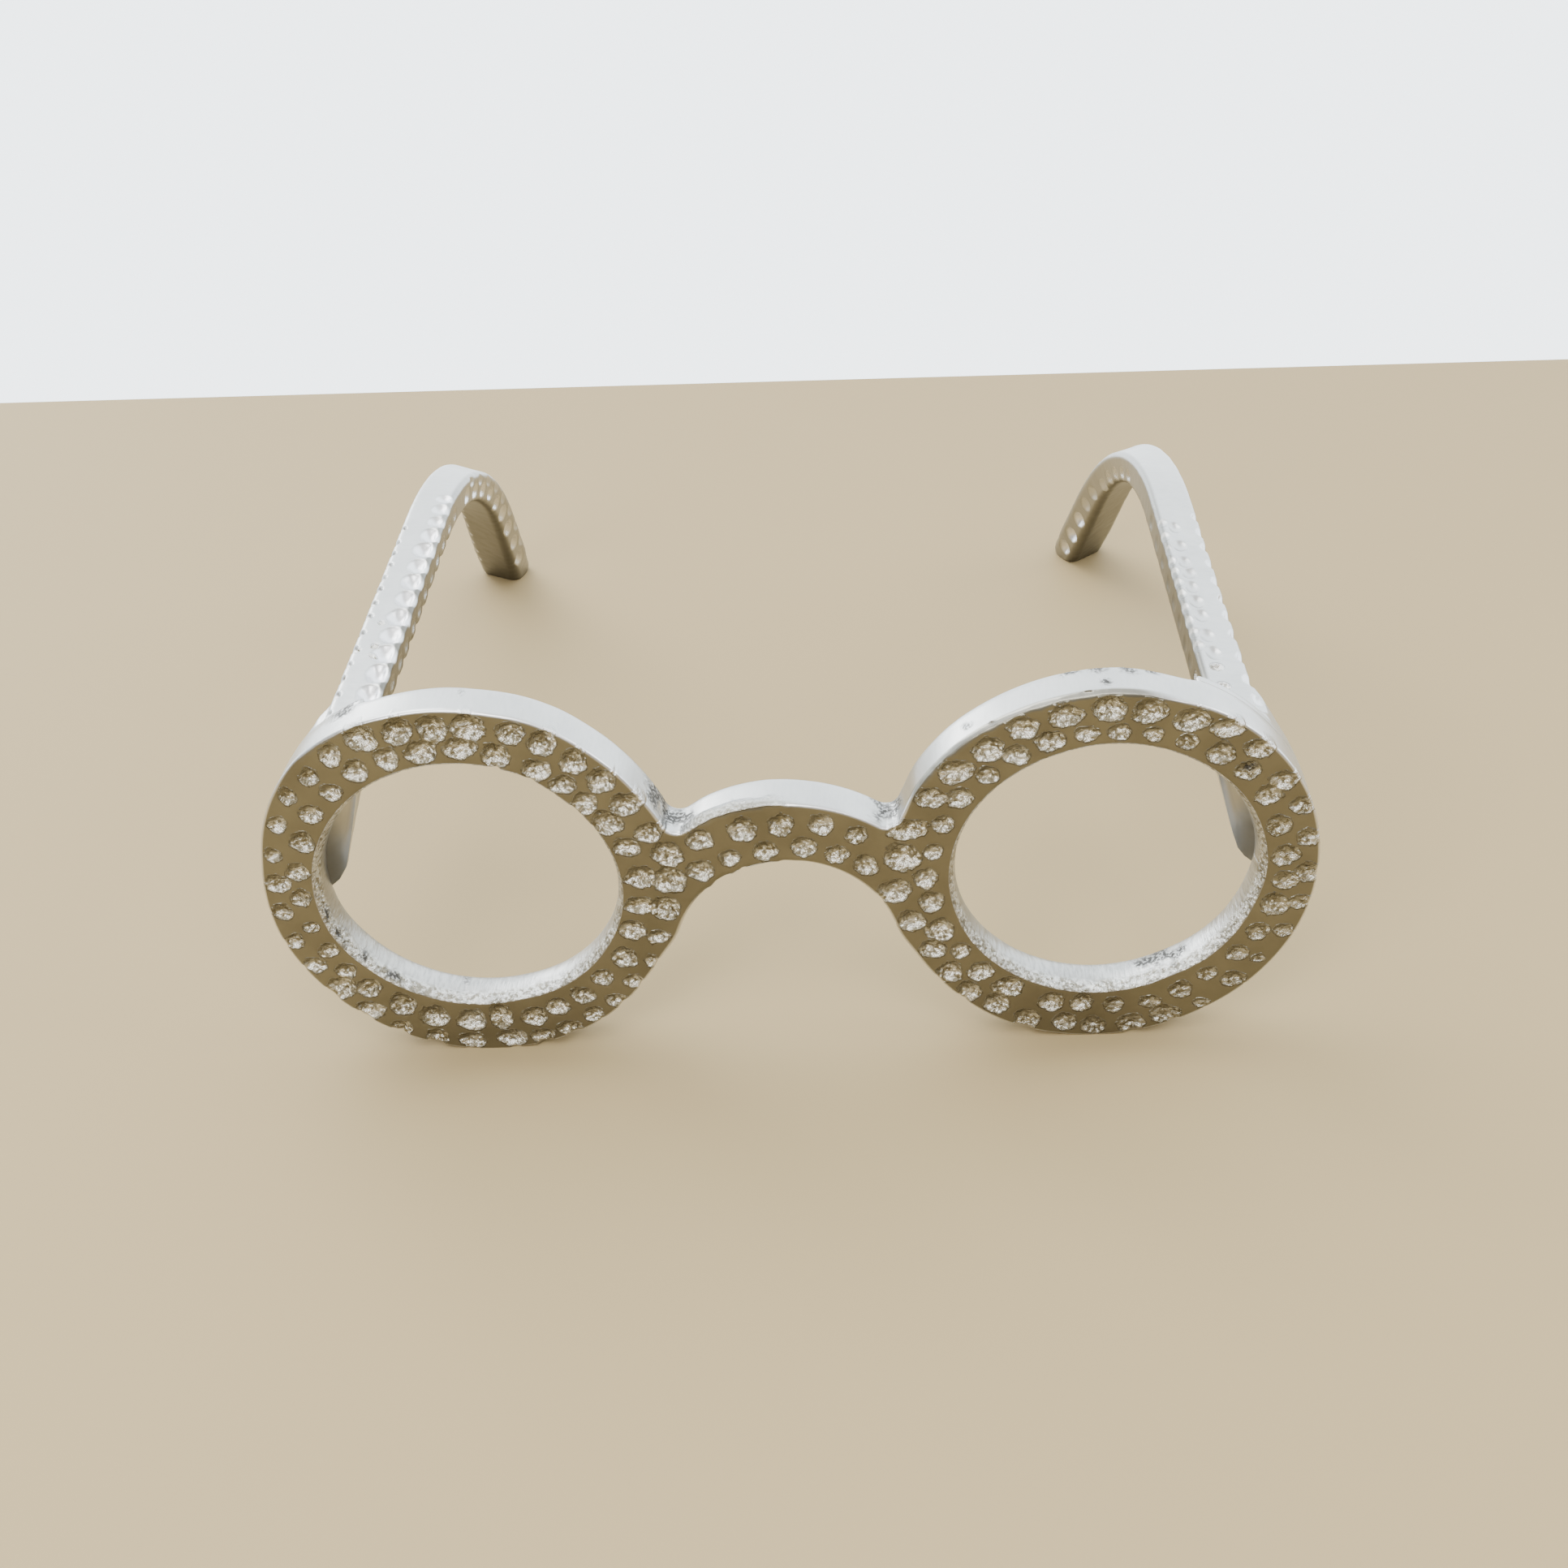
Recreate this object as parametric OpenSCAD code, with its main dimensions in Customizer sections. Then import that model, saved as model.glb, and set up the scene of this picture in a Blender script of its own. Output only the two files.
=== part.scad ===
// A tabletop sculpture in the shape of round spectacles, cast in metal.
// It stands open on the lower edges of its two rims and on the tips of its two hooks.
// X runs along the front, left as seen by someone facing the rims. Y runs from the rims
// to the hooks and Z is up. The origin lies on the table under the middle of the piece.

/* [Rims] */
// Width over both rims
overall_w = 200; // [180:1:230]
// Outer diameter of each rim
rim_d = 80.8; // [74:0.4:86]
// Diameter of each lens opening at the front face
lens_d = 58.4; // [50:0.4:60]
// How far each opening stands outboard of its rim's centre
lens_shift = 0.7; // [0:0.1:1.2]
// Depth of the front frame from its face to its back
frame_t = 9; // [7:0.5:12]
// How far the inner wall of a rim swells into the opening
wall_swell = 1.1; // [0.4:0.1:1.6]
// Radius that breaks the edges of the front face
front_edge_r = 0.7; // [0.3:0.1:1]
// Radius that rounds the outer back edges
back_edge_r = 1.2; // [0.5:0.1:2]
// Depth of the ground flats under the rims and the hook tips
ground_flat = 0.4; // [0.2:0.1:0.8]

/* [Bridge] */
// Height of the bridge's crown above the table
bridge_crown = 58.4; // [54:0.4:62]
// How much larger the radius of the bridge's top arc is than the nose arch's
bridge_spread = 11; // [5:0.5:14]
// Height of the nose arch above the table
nose_crown = 45.4; // [41:0.4:48]
// Radius of the small hollow between the bridge and a rim
notch_r = 2.5; // [1.5:0.5:4]

/* [Temples] */
// Depth from the front face to the hook tips
overall_depth = 205; // [180:1:230]
// Width of a temple bar
arm_w = 9.3; // [7:0.1:11]
// Height of a temple bar
arm_h = 7; // [6:0.2:10]
// Radius of a temple bar's long edges
arm_edge_r = 1.4; // [0.5:0.1:2.4]
// Where the left temple's top edge leaves its rim, in degrees above level
left_joint_angle = 48; // [40:0.5:60]
// Where the right temple's top edge leaves its rim, in degrees above level
right_joint_angle = 43.5; // [40:0.5:60]
// How far the left hook leans outward, in degrees
left_lean = 5; // [-8:0.5:8]
// How far the right hook leans outward, in degrees
right_lean = -7; // [-8:0.5:8]
// Centre-line radius of the bend into the hook
bend_r = 105; // [60:5:120]
// Slope of the hook below level in degrees
hook_angle = 50; // [40:1:60]
// Radius of the domed hook tip
tip_r = 6.4; // [6:0.1:8]

/* [Feet] */
// Distance from a rim's centre to the flat inner side of the temple's foot
foot_chord = 25; // [23:0.5:27]
// Direction of that inner side, in degrees above level
foot_chord_angle = 15; // [10:1:25]
// Where the foot ends on the rim, in degrees below level
foot_low_angle = 13; // [0:1:25]
// Thickness of the foot's pad against the rim
pad_t = 2; // [1:0.5:4]
// Radius of the hollow under the bar
under_r = 28; // [18:1:34]
// Radius of the hollow above the bar
over_r = 8; // [4:1:14]
// Radius of the hollow on the bar's outer side
outer_r = 20; // [10:1:26]
// Radius of the hollow on the bar's inner side
inner_r = 10; // [4:1:16]

/* [Hidden joint] */
// Diameter of the threaded stud
stud_d = 4; // [3:0.5:5]
// Reach of the stud into the frame
stud_in_frame = 6; // [4:0.5:6]
// Reach of the stud into the temple
stud_in_arm = 12; // [8:1:20]
// Diameter of the dowel that stops the temple from turning
dowel_d = 3; // [2:0.5:4]
// Reach of the dowel into the frame
dowel_in_frame = 4; // [3:0.5:6]
// Reach of the dowel into the foot
dowel_in_foot = 3; // [2:0.5:3.5]
// Angle on the rim from the stud down to the dowel
dowel_step = 24; // [18:1:28]
// Radial clearance of a stud or dowel in its hole
hole_clear = 0.05; // [0.02:0.01:0.1]
// Space left at the bottom of each blind hole
hole_end = 0.3; // [0.1:0.1:0.6]

/* [Hidden] */
$fn = 96;

left = -1;
right = 1;
// Depth by which a blending cut runs past the line where it would only touch
bite = 0.12;
// Length by which cutting tools run past the metal
past = 1;
// Length by which the straight stretches of a bar run into its bend, and how much
// finer they are, so that they end inside it
lap = 0.5;
finer = 0.02;

rim_r = rim_d / 2;
lens_r = lens_d / 2;
rim_x = overall_w / 2 - rim_r;
rim_z = rim_r - ground_flat;
front_y = -overall_depth / 2;
seam_y = front_y + frame_t;

// The nose arch touches both rims from outside and peaks at nose_crown
nose_drop = rim_z - nose_crown;
nose_r = (rim_x * rim_x + nose_drop * nose_drop - rim_r * rim_r)
    / (2 * (rim_r - nose_drop));
nose_z = nose_crown - nose_r;
bridge_top_r = nose_r + bridge_spread;
bridge_z = bridge_crown - bridge_top_r;
// Where the nose arch meets a rim, measured from the bridge's middle
nose_meet_x = rim_x * nose_r / (rim_r + nose_r);
nose_meet_z = nose_z + (rim_z - nose_z) * nose_r / (rim_r + nose_r);
bridge_half = nose_meet_x + (rim_r - lens_r) / 4;

// Centre of the small hollow, at equal clearance from the rim and the bridge's top
notch_c = circle_meet([rim_x, rim_z], rim_r + notch_r, [0, bridge_z], bridge_top_r + notch_r);
notch_floor = circle_meet([rim_x, rim_z], rim_r, [0, bridge_z], bridge_top_r);

// Upper crossing of two circles, each given by its centre and radius
function circle_meet(a, ra, b, rb) =
    let (span = norm(b - a),
         along = (ra * ra - rb * rb + span * span) / (2 * span),
         across = sqrt(ra * ra - along * along),
         dir = (b - a) / span)
    a + along * dir + across * [dir[1], -dir[0]];

function polar(r, angle) = [r * cos(angle), r * sin(angle)];

// Reach of the tip behind the centre of its dome, with the dome cut by the bar's top
tip_reach = sqrt(tip_r * tip_r - arm_h * arm_h / 4) * cos(hook_angle)
    + arm_h / 2 * sin(hook_angle);
tip_z = tip_r - ground_flat;

function bar_x(joint) = rim_x + rim_r * cos(joint) - arm_w / 2;
function bar_z(joint) = rim_z + rim_r * sin(joint) - arm_h / 2;
// The temple leans as a whole, so its fall is measured along the lean
function hook_len(joint, lean) =
    ((bar_z(joint) - tip_z) / cos(lean) - bend_r * (1 - cos(hook_angle))) / sin(hook_angle);
function straight_len(joint, lean) =
    overall_depth - frame_t - tip_reach - bend_r * sin(hook_angle)
    - hook_len(joint, lean) * cos(hook_angle);

// Places the dowel on the middle of the rim's band, below the stud
function dowel_angle(joint) =
    atan2(bar_z(joint) - rim_z, bar_x(joint) - rim_x) - dowel_step;
dowel_track_r = (rim_r + lens_r) / 2;

// Flat outline of a bar with round corners
module round_bar(w, h, r) {
    square([w - 2 * r, h], center = true);
    square([w, h - 2 * r], center = true);
    for (x = [-1, 1], y = [-1, 1])
        translate([x * (w / 2 - r), y * (h / 2 - r)])
            circle(r);
}

// What a round edge of radius r takes off the outer corner of a wall at x = wall.
// The corner lies at depth y and the metal lies on its side_y side.
module edge_cut(wall, y, r, side_y) {
    difference() {
        translate([wall - r, side_y > 0 ? y - past : y - r])
            square([r + past, r + past]);
        translate([wall - r, y + side_y * r])
            circle(r);
    }
}

// Turns an outline given as radius and depth about an axis that runs from front to back
module turned(x, z) {
    translate([x, front_y, z])
        rotate([-90, 0, 0])
            rotate_extrude()
                children();
}

// A disc of the frame's depth with its edges rounded
module edged_disc(r) {
    difference() {
        square([r, frame_t]);
        edge_cut(r, 0, front_edge_r, 1);
        edge_cut(r, frame_t, back_edge_r, -1);
    }
}

// Cutting tool for a round opening whose rim is broken by the same edge radii
module edged_bore(r) {
    translate([0, -past])
        square([r, frame_t + 2 * past]);
    difference() {
        translate([0, -past])
            square([r + front_edge_r, front_edge_r + past]);
        translate([r + front_edge_r, front_edge_r])
            circle(front_edge_r);
    }
    difference() {
        translate([0, frame_t - back_edge_r])
            square([r + back_edge_r, back_edge_r + past]);
        translate([r + back_edge_r, frame_t - back_edge_r])
            circle(back_edge_r);
    }
}

// Cutting tool for a lens opening, with a wall that swells into it
module lens_bore() {
    swell_r = (frame_t * frame_t / 4 + wall_swell * wall_swell) / (2 * wall_swell);
    difference() {
        translate([0, -past])
            square([lens_r, frame_t + 2 * past]);
        translate([lens_r - wall_swell + swell_r, frame_t / 2])
            circle(swell_r);
    }
}

module bridge_block() {
    intersection() {
        turned(0, bridge_z)
            edged_disc(bridge_top_r);
        translate([-bridge_half, front_y - past, nose_meet_z])
            cube([2 * bridge_half, frame_t + 2 * past, bridge_crown]);
    }
}

// Fills the corner between the rim and the bridge's top down to the small hollow
module notch_web() {
    on_rim = [rim_x, rim_z] + (notch_c - [rim_x, rim_z]) * rim_r / (rim_r + notch_r);
    on_bridge = [0, bridge_z]
        + (notch_c - [0, bridge_z]) * bridge_top_r / (bridge_top_r + notch_r);
    translate([0, front_y + frame_t, 0])
        rotate([90, 0, 0])
            linear_extrude(frame_t)
                polygon([on_rim, on_bridge, notch_floor - [0, notch_r]]);
}

module table_cut() {
    translate([-overall_w, -overall_depth, -rim_d])
        cube([2 * overall_w, 2 * overall_depth, rim_d]);
}

module front_frame() {
    color("#c9c6bd")
    difference() {
        union() {
            for (side = [left, right])
                turned(side * rim_x, rim_z)
                    edged_disc(rim_r);
            bridge_block();
            for (turn = [0, 1])
                mirror([turn, 0, 0])
                    notch_web();
        }
        turned(0, nose_z)
            edged_bore(nose_r + bite);
        for (side = [left, right]) {
            turned(side * notch_c[0], notch_c[1])
                edged_bore(notch_r + bite);
            turned(side * (rim_x + lens_shift), rim_z)
                lens_bore();
        }
        joint_holes(left_joint_angle, left);
        joint_holes(right_joint_angle, right);
        table_cut();
    }
}

// The bar with its bend and hook, drawn backward from the middle of its joint
module bar(joint, lean) {
    drop = bend_r * (1 - cos(hook_angle));
    run = straight_len(joint, lean);
    rotate([-90, 0, 0])
        translate([0, 0, -pad_t])
            linear_extrude(run + pad_t + lap)
                round_bar(arm_w - finer, arm_h - finer, arm_edge_r);
    translate([0, run, -bend_r])
        rotate([0, -90, 0])
            rotate_extrude(angle = hook_angle)
                translate([bend_r, 0])
                    round_bar(arm_h, arm_w, arm_edge_r);
    translate([0, run + bend_r * sin(hook_angle), -drop])
        rotate([-hook_angle, 0, 0])
            hook(hook_len(joint, lean));
}

// Straight hook whose end is trimmed to a dome
module hook(len) {
    rotate([-90, 0, 0])
        difference() {
            translate([0, 0, -lap])
                linear_extrude(lap + len + tip_r)
                    round_bar(arm_w - finer, arm_h - finer, arm_edge_r);
            translate([0, 0, len])
                dome_trim();
        }
}

// Everything past the middle of a ball of radius tip_r, apart from the ball
module dome_trim() {
    difference() {
        translate([-2 * tip_r, -2 * tip_r, 0])
            cube([4 * tip_r, 4 * tip_r, 2 * tip_r]);
        sphere(tip_r);
    }
}

// Outline of the foot against the rim: the part of the rim's disc beyond a chord
module foot_face() {
    reach = rim_r + past;
    intersection() {
        translate([rim_x, rim_z])
            circle(rim_r);
        translate([rim_x, rim_z])
            rotate(foot_chord_angle)
                translate([foot_chord, -reach])
                    square([reach, 2 * reach]);
        translate([rim_x, rim_z])
            rotate(-foot_low_angle)
                square([reach, 2 * reach]);
    }
}

// Outline of a pad that sweeps up to both sides of a strip. The strip runs from edge a
// to edge b across and rises past the pad, with a hollow of radius ra and rb beside it.
module flare(a, b, ra, rb) {
    translate([-rim_d, 0])
        square([2 * rim_d, pad_t]);
    translate([a, 0])
        square([b - a, pad_t + max(ra, rb)]);
    translate([b, 0])
        hollow_corner(rb);
    translate([a, 0])
        mirror([1, 0])
            hollow_corner(ra);
}

module hollow_corner(r) {
    difference() {
        square([r, pad_t + r]);
        translate([r, pad_t + r])
            circle(r);
    }
}

// The foot: its face on the rim, swept back to the bar in side view and in plan.
// The strips lie inside the bar's long edges, so the bar runs out of the foot whole.
module foot(joint) {
    depth = pad_t + max(under_r, over_r, outer_r, inner_r);
    half_w = arm_w / 2 - arm_edge_r;
    half_h = arm_h / 2 - arm_edge_r;
    intersection() {
        translate([0, seam_y + depth, 0])
            rotate([90, 0, 0])
                linear_extrude(depth)
                    foot_face();
        translate([overall_w, seam_y, bar_z(joint)])
            rotate([0, -90, 0])
                linear_extrude(overall_w)
                    flare(-half_h, half_h, under_r, over_r);
        translate([bar_x(joint), seam_y, 0])
            linear_extrude(rim_d + past)
                flare(-half_w, half_w, inner_r, outer_r);
    }
}

// One temple, drawn on the right and mirrored for the left
module temple(joint, lean, side) {
    mirror([side == left ? 1 : 0, 0, 0])
    difference() {
        union() {
            foot(joint);
            translate([bar_x(joint), seam_y, bar_z(joint)])
                rotate([0, -lean, 0])
                    bar(joint, lean);
        }
        // The foot and the bar end flush at the back of the rim
        translate([0, front_y - past, 0])
            cube([overall_w, frame_t + past, rim_d + past]);
        joint_holes(joint, right);
        table_cut();
    }
}

// A pin along the front-to-back line at a joint, from y1 in the frame to y2 in the temple
module pin_at(x, z, d, y1, y2) {
    translate([x, seam_y - y1, z])
        rotate([-90, 0, 0])
            cylinder(d = d, h = y1 + y2);
}

module stud_at(joint, side, grow, end) {
    pin_at(side * bar_x(joint), bar_z(joint), stud_d + 2 * grow,
           stud_in_frame + end, stud_in_arm + end);
}

module dowel_at(joint, side, grow, end) {
    spot = [rim_x, rim_z] + polar(dowel_track_r, dowel_angle(joint));
    pin_at(side * spot[0], spot[1], dowel_d + 2 * grow,
           dowel_in_frame + end, dowel_in_foot + end);
}

module joint_holes(joint, side) {
    stud_at(joint, side, hole_clear, hole_end);
    dowel_at(joint, side, hole_clear, hole_end);
}

module left_temple() {
    color("#cfccc4")
        temple(left_joint_angle, left_lean, left);
}

module right_temple() {
    color("#cfccc4")
        temple(right_joint_angle, right_lean, right);
}

module left_stud() {
    color("#9a9a98")
        stud_at(left_joint_angle, left, 0, 0);
}

module right_stud() {
    color("#9a9a98")
        stud_at(right_joint_angle, right, 0, 0);
}

module left_dowel() {
    color("#b0a890")
        dowel_at(left_joint_angle, left, 0, 0);
}

module right_dowel() {
    color("#b0a890")
        dowel_at(right_joint_angle, right, 0, 0);
}

front_frame();
left_temple();
right_temple();
left_stud();
right_stud();
left_dowel();
right_dowel();
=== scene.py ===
import math
from itertools import product
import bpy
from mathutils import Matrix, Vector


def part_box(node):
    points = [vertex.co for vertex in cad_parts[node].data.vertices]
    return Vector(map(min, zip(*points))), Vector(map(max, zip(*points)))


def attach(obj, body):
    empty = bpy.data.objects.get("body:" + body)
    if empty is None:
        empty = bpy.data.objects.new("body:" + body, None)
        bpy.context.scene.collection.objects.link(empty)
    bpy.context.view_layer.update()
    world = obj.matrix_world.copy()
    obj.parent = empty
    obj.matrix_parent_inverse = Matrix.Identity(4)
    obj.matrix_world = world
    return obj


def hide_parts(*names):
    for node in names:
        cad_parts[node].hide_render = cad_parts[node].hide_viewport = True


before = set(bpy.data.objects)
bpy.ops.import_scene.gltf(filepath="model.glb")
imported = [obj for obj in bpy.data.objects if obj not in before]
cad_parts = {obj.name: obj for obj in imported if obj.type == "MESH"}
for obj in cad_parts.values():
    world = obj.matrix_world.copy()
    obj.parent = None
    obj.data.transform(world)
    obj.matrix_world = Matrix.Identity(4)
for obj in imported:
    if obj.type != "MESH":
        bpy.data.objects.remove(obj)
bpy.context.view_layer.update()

from types import SimpleNamespace

import bpy
import numpy as np
from bpy.props import FloatProperty, FloatVectorProperty, PointerProperty
from mathutils import Matrix, Vector, geometry

bl_info = {
    "name": "Eyeglasses sculpture",
    "version": (1, 0, 0),
    "blender": (4, 5, 0),
    "location": "3D View > Sidebar > Eyeglasses",
    "description": "Builds the castings of a tabletop sculpture of round spectacles",
    "category": "Object",
}

# Lengths are worked out in millimetres and the meshes are made in metres
MM = 0.001
LEFT, RIGHT = -1, 1
FRONT_LOW, FRONT_HIGH = (Vector(corner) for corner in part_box("front_frame"))

# The hollows in the face of each rim and of the bridge, one by one: how far to the side and how far
# up their middles lie, their widths and their heights. They were read by eye from the photograph,
# and small scripts turned the readings into the millimetres that stand here
LEFT_PITS = (
    (-75, 75.7, 5.7, 5.7), (-81.2, 72.3, 4.3, 5), (-86, 67.7, 3.7, 4), (-77.3, 68.7, 4.7, 5),
    (-82.5, 64.1, 4, 3.7), (-90.8, 63.5, 3.3, 4), (-87.2, 59.3, 4.3, 4.3), (-94.1, 57.1, 3.7, 4),
    (-90.1, 52.9, 4.7, 4.7), (-96.3, 50, 3.3, 3.3), (-92.5, 45.9, 4.3, 4.3), (-96.8, 43.3, 5, 4.3),
    (-93, 39.7, 4, 4), (-97.2, 36.5, 4, 4), (-92.3, 32.5, 3.3, 2.7), (-96.3, 29.1, 4, 3.7),
    (-90.1, 26.5, 4, 3.7), (-93.3, 23, 4.3, 4), (-87.5, 21.3, 4.3, 3.7), (-89.2, 17, 5.7, 5.3),
    (-83.7, 16.7, 5, 4.7), (-84.5, 11, 5.7, 4.7), (-77.8, 12.3, 5, 6), (-79, 6, 4.3, 4),
    (-71.8, 9, 5.7, 5.7), (-72.1, 3.3, 4.7, 4.3), (-64.5, 7.7, 5.7, 5.7), (-65.1, 2.3, 5.7, 4),
    (-58.5, 8.7, 4.7, 6.7), (-57, 2.7, 6, 4.7), (-51.7, 8.3, 5, 5), (-50.7, 3, 4.7, 4),
    (-46.7, 10.8, 5, 4.3), (-45, 5, 5, 4), (-41.5, 13.5, 5, 4), (-39.7, 8.5, 4.3, 4),
    (-37, 18, 4.3, 4), (-35, 12, 4.3, 3.3), (-31, 16.9, 3.7, 3.7), (-32.3, 23, 5, 5),
    (-27, 22, 2.7, 3), (-30, 29.8, 5, 5), (-25.2, 28, 4.3, 3.3), (-28.1, 35.8, 5.3, 4.3),
    (-23.3, 35, 5.7, 5.7), (-27.2, 42.5, 5.7, 5.3), (-22, 41.8, 6.3, 6.7), (-29.2, 49.7, 5.3, 4),
    (-21.7, 47.7, 6, 6), (-24.8, 52.9, 5, 4.7), (-32.2, 55.5, 5.7, 5.3), (-28.5, 59.5, 5.7, 5.3),
    (-36, 60, 4.7, 5), (-32.5, 64.9, 5.3, 5.3), (-39.5, 64.3, 5, 4), (-37, 69.3, 4.7, 5.7),
    (-44, 67.7, 5.3, 4.7), (-42.3, 73.5, 5.3, 5.3), (-47.7, 76, 5, 5.3), (-51, 71.1, 5.3, 5.3),
    (-55.3, 77.3, 6, 6), (-57.3, 73, 6, 4.7), (-61.7, 77.3, 5.7, 5.7), (-64.5, 72.3, 5.7, 5.3),
    (-68.1, 76.9, 5.7, 5.7), (-71, 71.1, 4.7, 4.7),
)
RIGHT_PITS = (
    (51.7, 76, 6, 4.7), (59.3, 77.3, 6, 5.3), (66.5, 76.5, 6.3, 5), (74, 74.3, 6.3, 5),
    (80.5, 72.5, 5.7, 4.3), (44.1, 73.7, 6, 4.7), (38, 69.3, 5.7, 5.3), (43, 68, 5, 4.3),
    (49, 70.7, 5.3, 4.3), (55.5, 72.1, 4.3, 3.3), (61.3, 72.3, 4.3, 3.3), (67.5, 71.7, 3.7, 3),
    (73.5, 69.8, 4, 3), (79.7, 67.1, 5.3, 4.7), (86.3, 67.8, 5.3, 3.7), (84.8, 63.2, 4.7, 4),
    (91.3, 60.7, 5.3, 4), (88.9, 57.7, 5, 4.3), (95.2, 55.1, 4.3, 4), (91.5, 50.7, 4.7, 4.7),
    (97.1, 47.8, 4.3, 4), (93.3, 43.8, 5, 5), (97.7, 39.7, 4.7, 4.7), (93.9, 38, 5.3, 4),
    (92.3, 32.2, 5.3, 5.3), (97, 32.7, 4, 3.3), (89.7, 25.7, 4.3, 4.3), (94.5, 25.8, 3.7, 3.3),
    (86.2, 20.5, 4, 4), (90.3, 19.1, 2.7, 2), (80.9, 15.5, 4, 3.3), (86, 14, 5, 3.7),
    (76, 11.5, 4.7, 4), (80.3, 8, 3.3, 2.3), (70.3, 8.5, 4.3, 3.3), (73.3, 5.3, 6, 4.7),
    (63.1, 8, 4, 4), (66.7, 3, 5.7, 4.7), (56.9, 8.7, 4.3, 4.7), (59.3, 2.7, 5, 4.3),
    (50.9, 9, 5, 4.7), (53.7, 3.7, 4.7, 4.7), (42.3, 13.3, 5.7, 5.3), (40.2, 9, 5.3, 5),
    (46.3, 4.7, 5.3, 5), (37, 17.3, 5, 4.7), (31, 17.3, 5, 5), (34.7, 12.3, 4.7, 5),
    (27.7, 23.3, 5, 4.7), (33.1, 22.7, 3.7, 4), (23.7, 30.3, 5.3, 5), (29.2, 28, 5.7, 5.3),
    (20.7, 37.7, 6, 5.7), (27.5, 34.9, 4.7, 5), (26.5, 40.5, 4.3, 5), (22.2, 45.7, 7, 6.3),
    (28, 46.7, 3.7, 3.7), (23.3, 52, 7.3, 4.7), (29.8, 53, 4, 4), (27.7, 59, 5.7, 4.3),
    (33, 58.9, 4.7, 4.3), (32.2, 64.7, 6.7, 5), (38.1, 63.7, 4.3, 3.7),
)
BRIDGE_PITS = (
    (-7.4, 53, 4.9, 5), (-0.2, 53.9, 4.4, 4.6), (7.3, 53.7, 4.1, 4.4), (13.8, 51.1, 3.8, 3.6),
    (-15.5, 51, 4.4, 4.4), (-10.1, 46.5, 3.7, 3.4), (-3.4, 48, 4.4, 3.7), (3.9, 48.7, 4.5, 4),
    (10, 46.7, 3.8, 3.8), (15.4, 44, 4, 4.4), (-15.7, 43.7, 4.6, 4.4),
)
# Patches where the cast metal is left porous: middle (x, y, z) and radius
POROUS = (
    (-20.3, -97.5, 54, 5.2), (-22.5, -96, 57.5, 4.2), (-23.4, -98.5, 58, 3.4), (20, -97, 53.5, 4.6),
    (53.5, -93.6, 80.2, 2.6), (58, -93.6, 80.6, 2.8), (63, -93.6, 80.4, 2.8),
    (67.5, -93.6, 79.8, 2.2), (69.5, -96, 13.6, 3.4), (72.5, -96.8, 14.9, 3.3),
    (75.5, -98.2, 16.3, 3), (-79.5, -93.6, 75.5, 5), (84.8, -101.5, 63.2, 1.9),
    (-89.2, -102, 34.5, 2.6), (-87.3, -102, 29, 2.8), (-83.8, -101.8, 23, 2.8),
    (-79, -101.6, 18, 2.4), (-66, -96, 12, 1.8), (59, -99, 80.5, 1.5), (34, -98, 72.5, 1.6),
    (-57, -96, 81, 1),
)
# The only porous patch that also shows on the face itself: its middle and its radius there
FACE_PORES = (84.8, 63.2, 2.4)
# Between these two places, from back to front, a wall passes into the face
FACE_BEGINS = (-101.6, -102.1)
# The bridge's hollows are a little larger than their table says
BRIDGE_GROWN = 1.1
# Where the face's pits are shallow and painted less bright: from and to across the face, up to
# which height, then their depth and their painted highlight as shares of the common ones; the
# first that fits counts
FAINT_PITS = (
    (58, 101, 30, 0.6, 0.6), (88, 101, 52, 0.6, 0.6), (30, 101, 14, 0.8, 0.85),
    (64, 101, 82, 0.8, 0.85), (-52, -30, 10, 0.8, 0.85),
)
# A pit's edge waves in and out: the waves' heights as shares of its size, and their number round it
PIT_WAVES = ((0.05, 2), (0.04, 3), (0.03, 5))
# Where the upper outer edge of each rim is filed: side, how much, then the directions in degrees
# from the right and up between which the bevel starts and ends
FILED_EDGES = (
    (RIGHT, 1.0, (70, 84), (158, 148)),
    (LEFT, 0.4, (100, 114), (146, 132)),
)
# Radii of each rim's face about the rim's centre as it was ground by hand: the outer edge and
# the opening's edge, each by direction in degrees from the right and up
RIM_EDGES = {
    LEFT: (
        ((25, 40.1), (30, 39.9), (50, 40.25), (60, 40.85), (70, 41.15), (80, 40.85), (90, 41.25),
         (110, 41.6), (120, 41.9), (130, 42.2), (135, 42.1), (150, 41.4), (160, 40.7), (170, 40.15),
         (195, 40.5), (210, 40.35), (240, 40.6), (262, 40.6), (270, 40.4), (285, 39.9), (300, 39.5),
         (310, 39.1), (318, 38.7), (325, 38.4), (335, 38.65), (345, 39.75)),
        ((0, 28.5), (45, 28.6), (55, 29), (65, 29.4), (80, 29.5), (115, 29.75), (150, 30),
         (160, 30.25), (180, 30.5), (200, 30.5), (210, 30), (220, 29.6), (240, 28.9), (260, 28.4),
         (280, 27.6), (300, 27.9), (330, 28), (350, 28.4))),
    RIGHT: (
        ((0, 40.15), (15, 40.4), (25, 40.7), (60, 40.85), (68, 40.6), (75, 40.25), (90, 40.35),
         (105, 40), (120, 40), (135, 40.2), (145, 40.1), (195, 40.4), (205, 39.4), (215, 39.3),
         (225, 39.5), (245, 40.15), (270, 40.15), (300, 39.85), (330, 40)),
        ((0, 30.35), (30, 30.35), (60, 30), (75, 29.9), (90, 29.7), (105, 29.25), (120, 29),
         (150, 28.75), (195, 28.35), (240, 28.5), (270, 28.75), (300, 28.5), (315, 29.25),
         (345, 29.65))),
}
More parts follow.
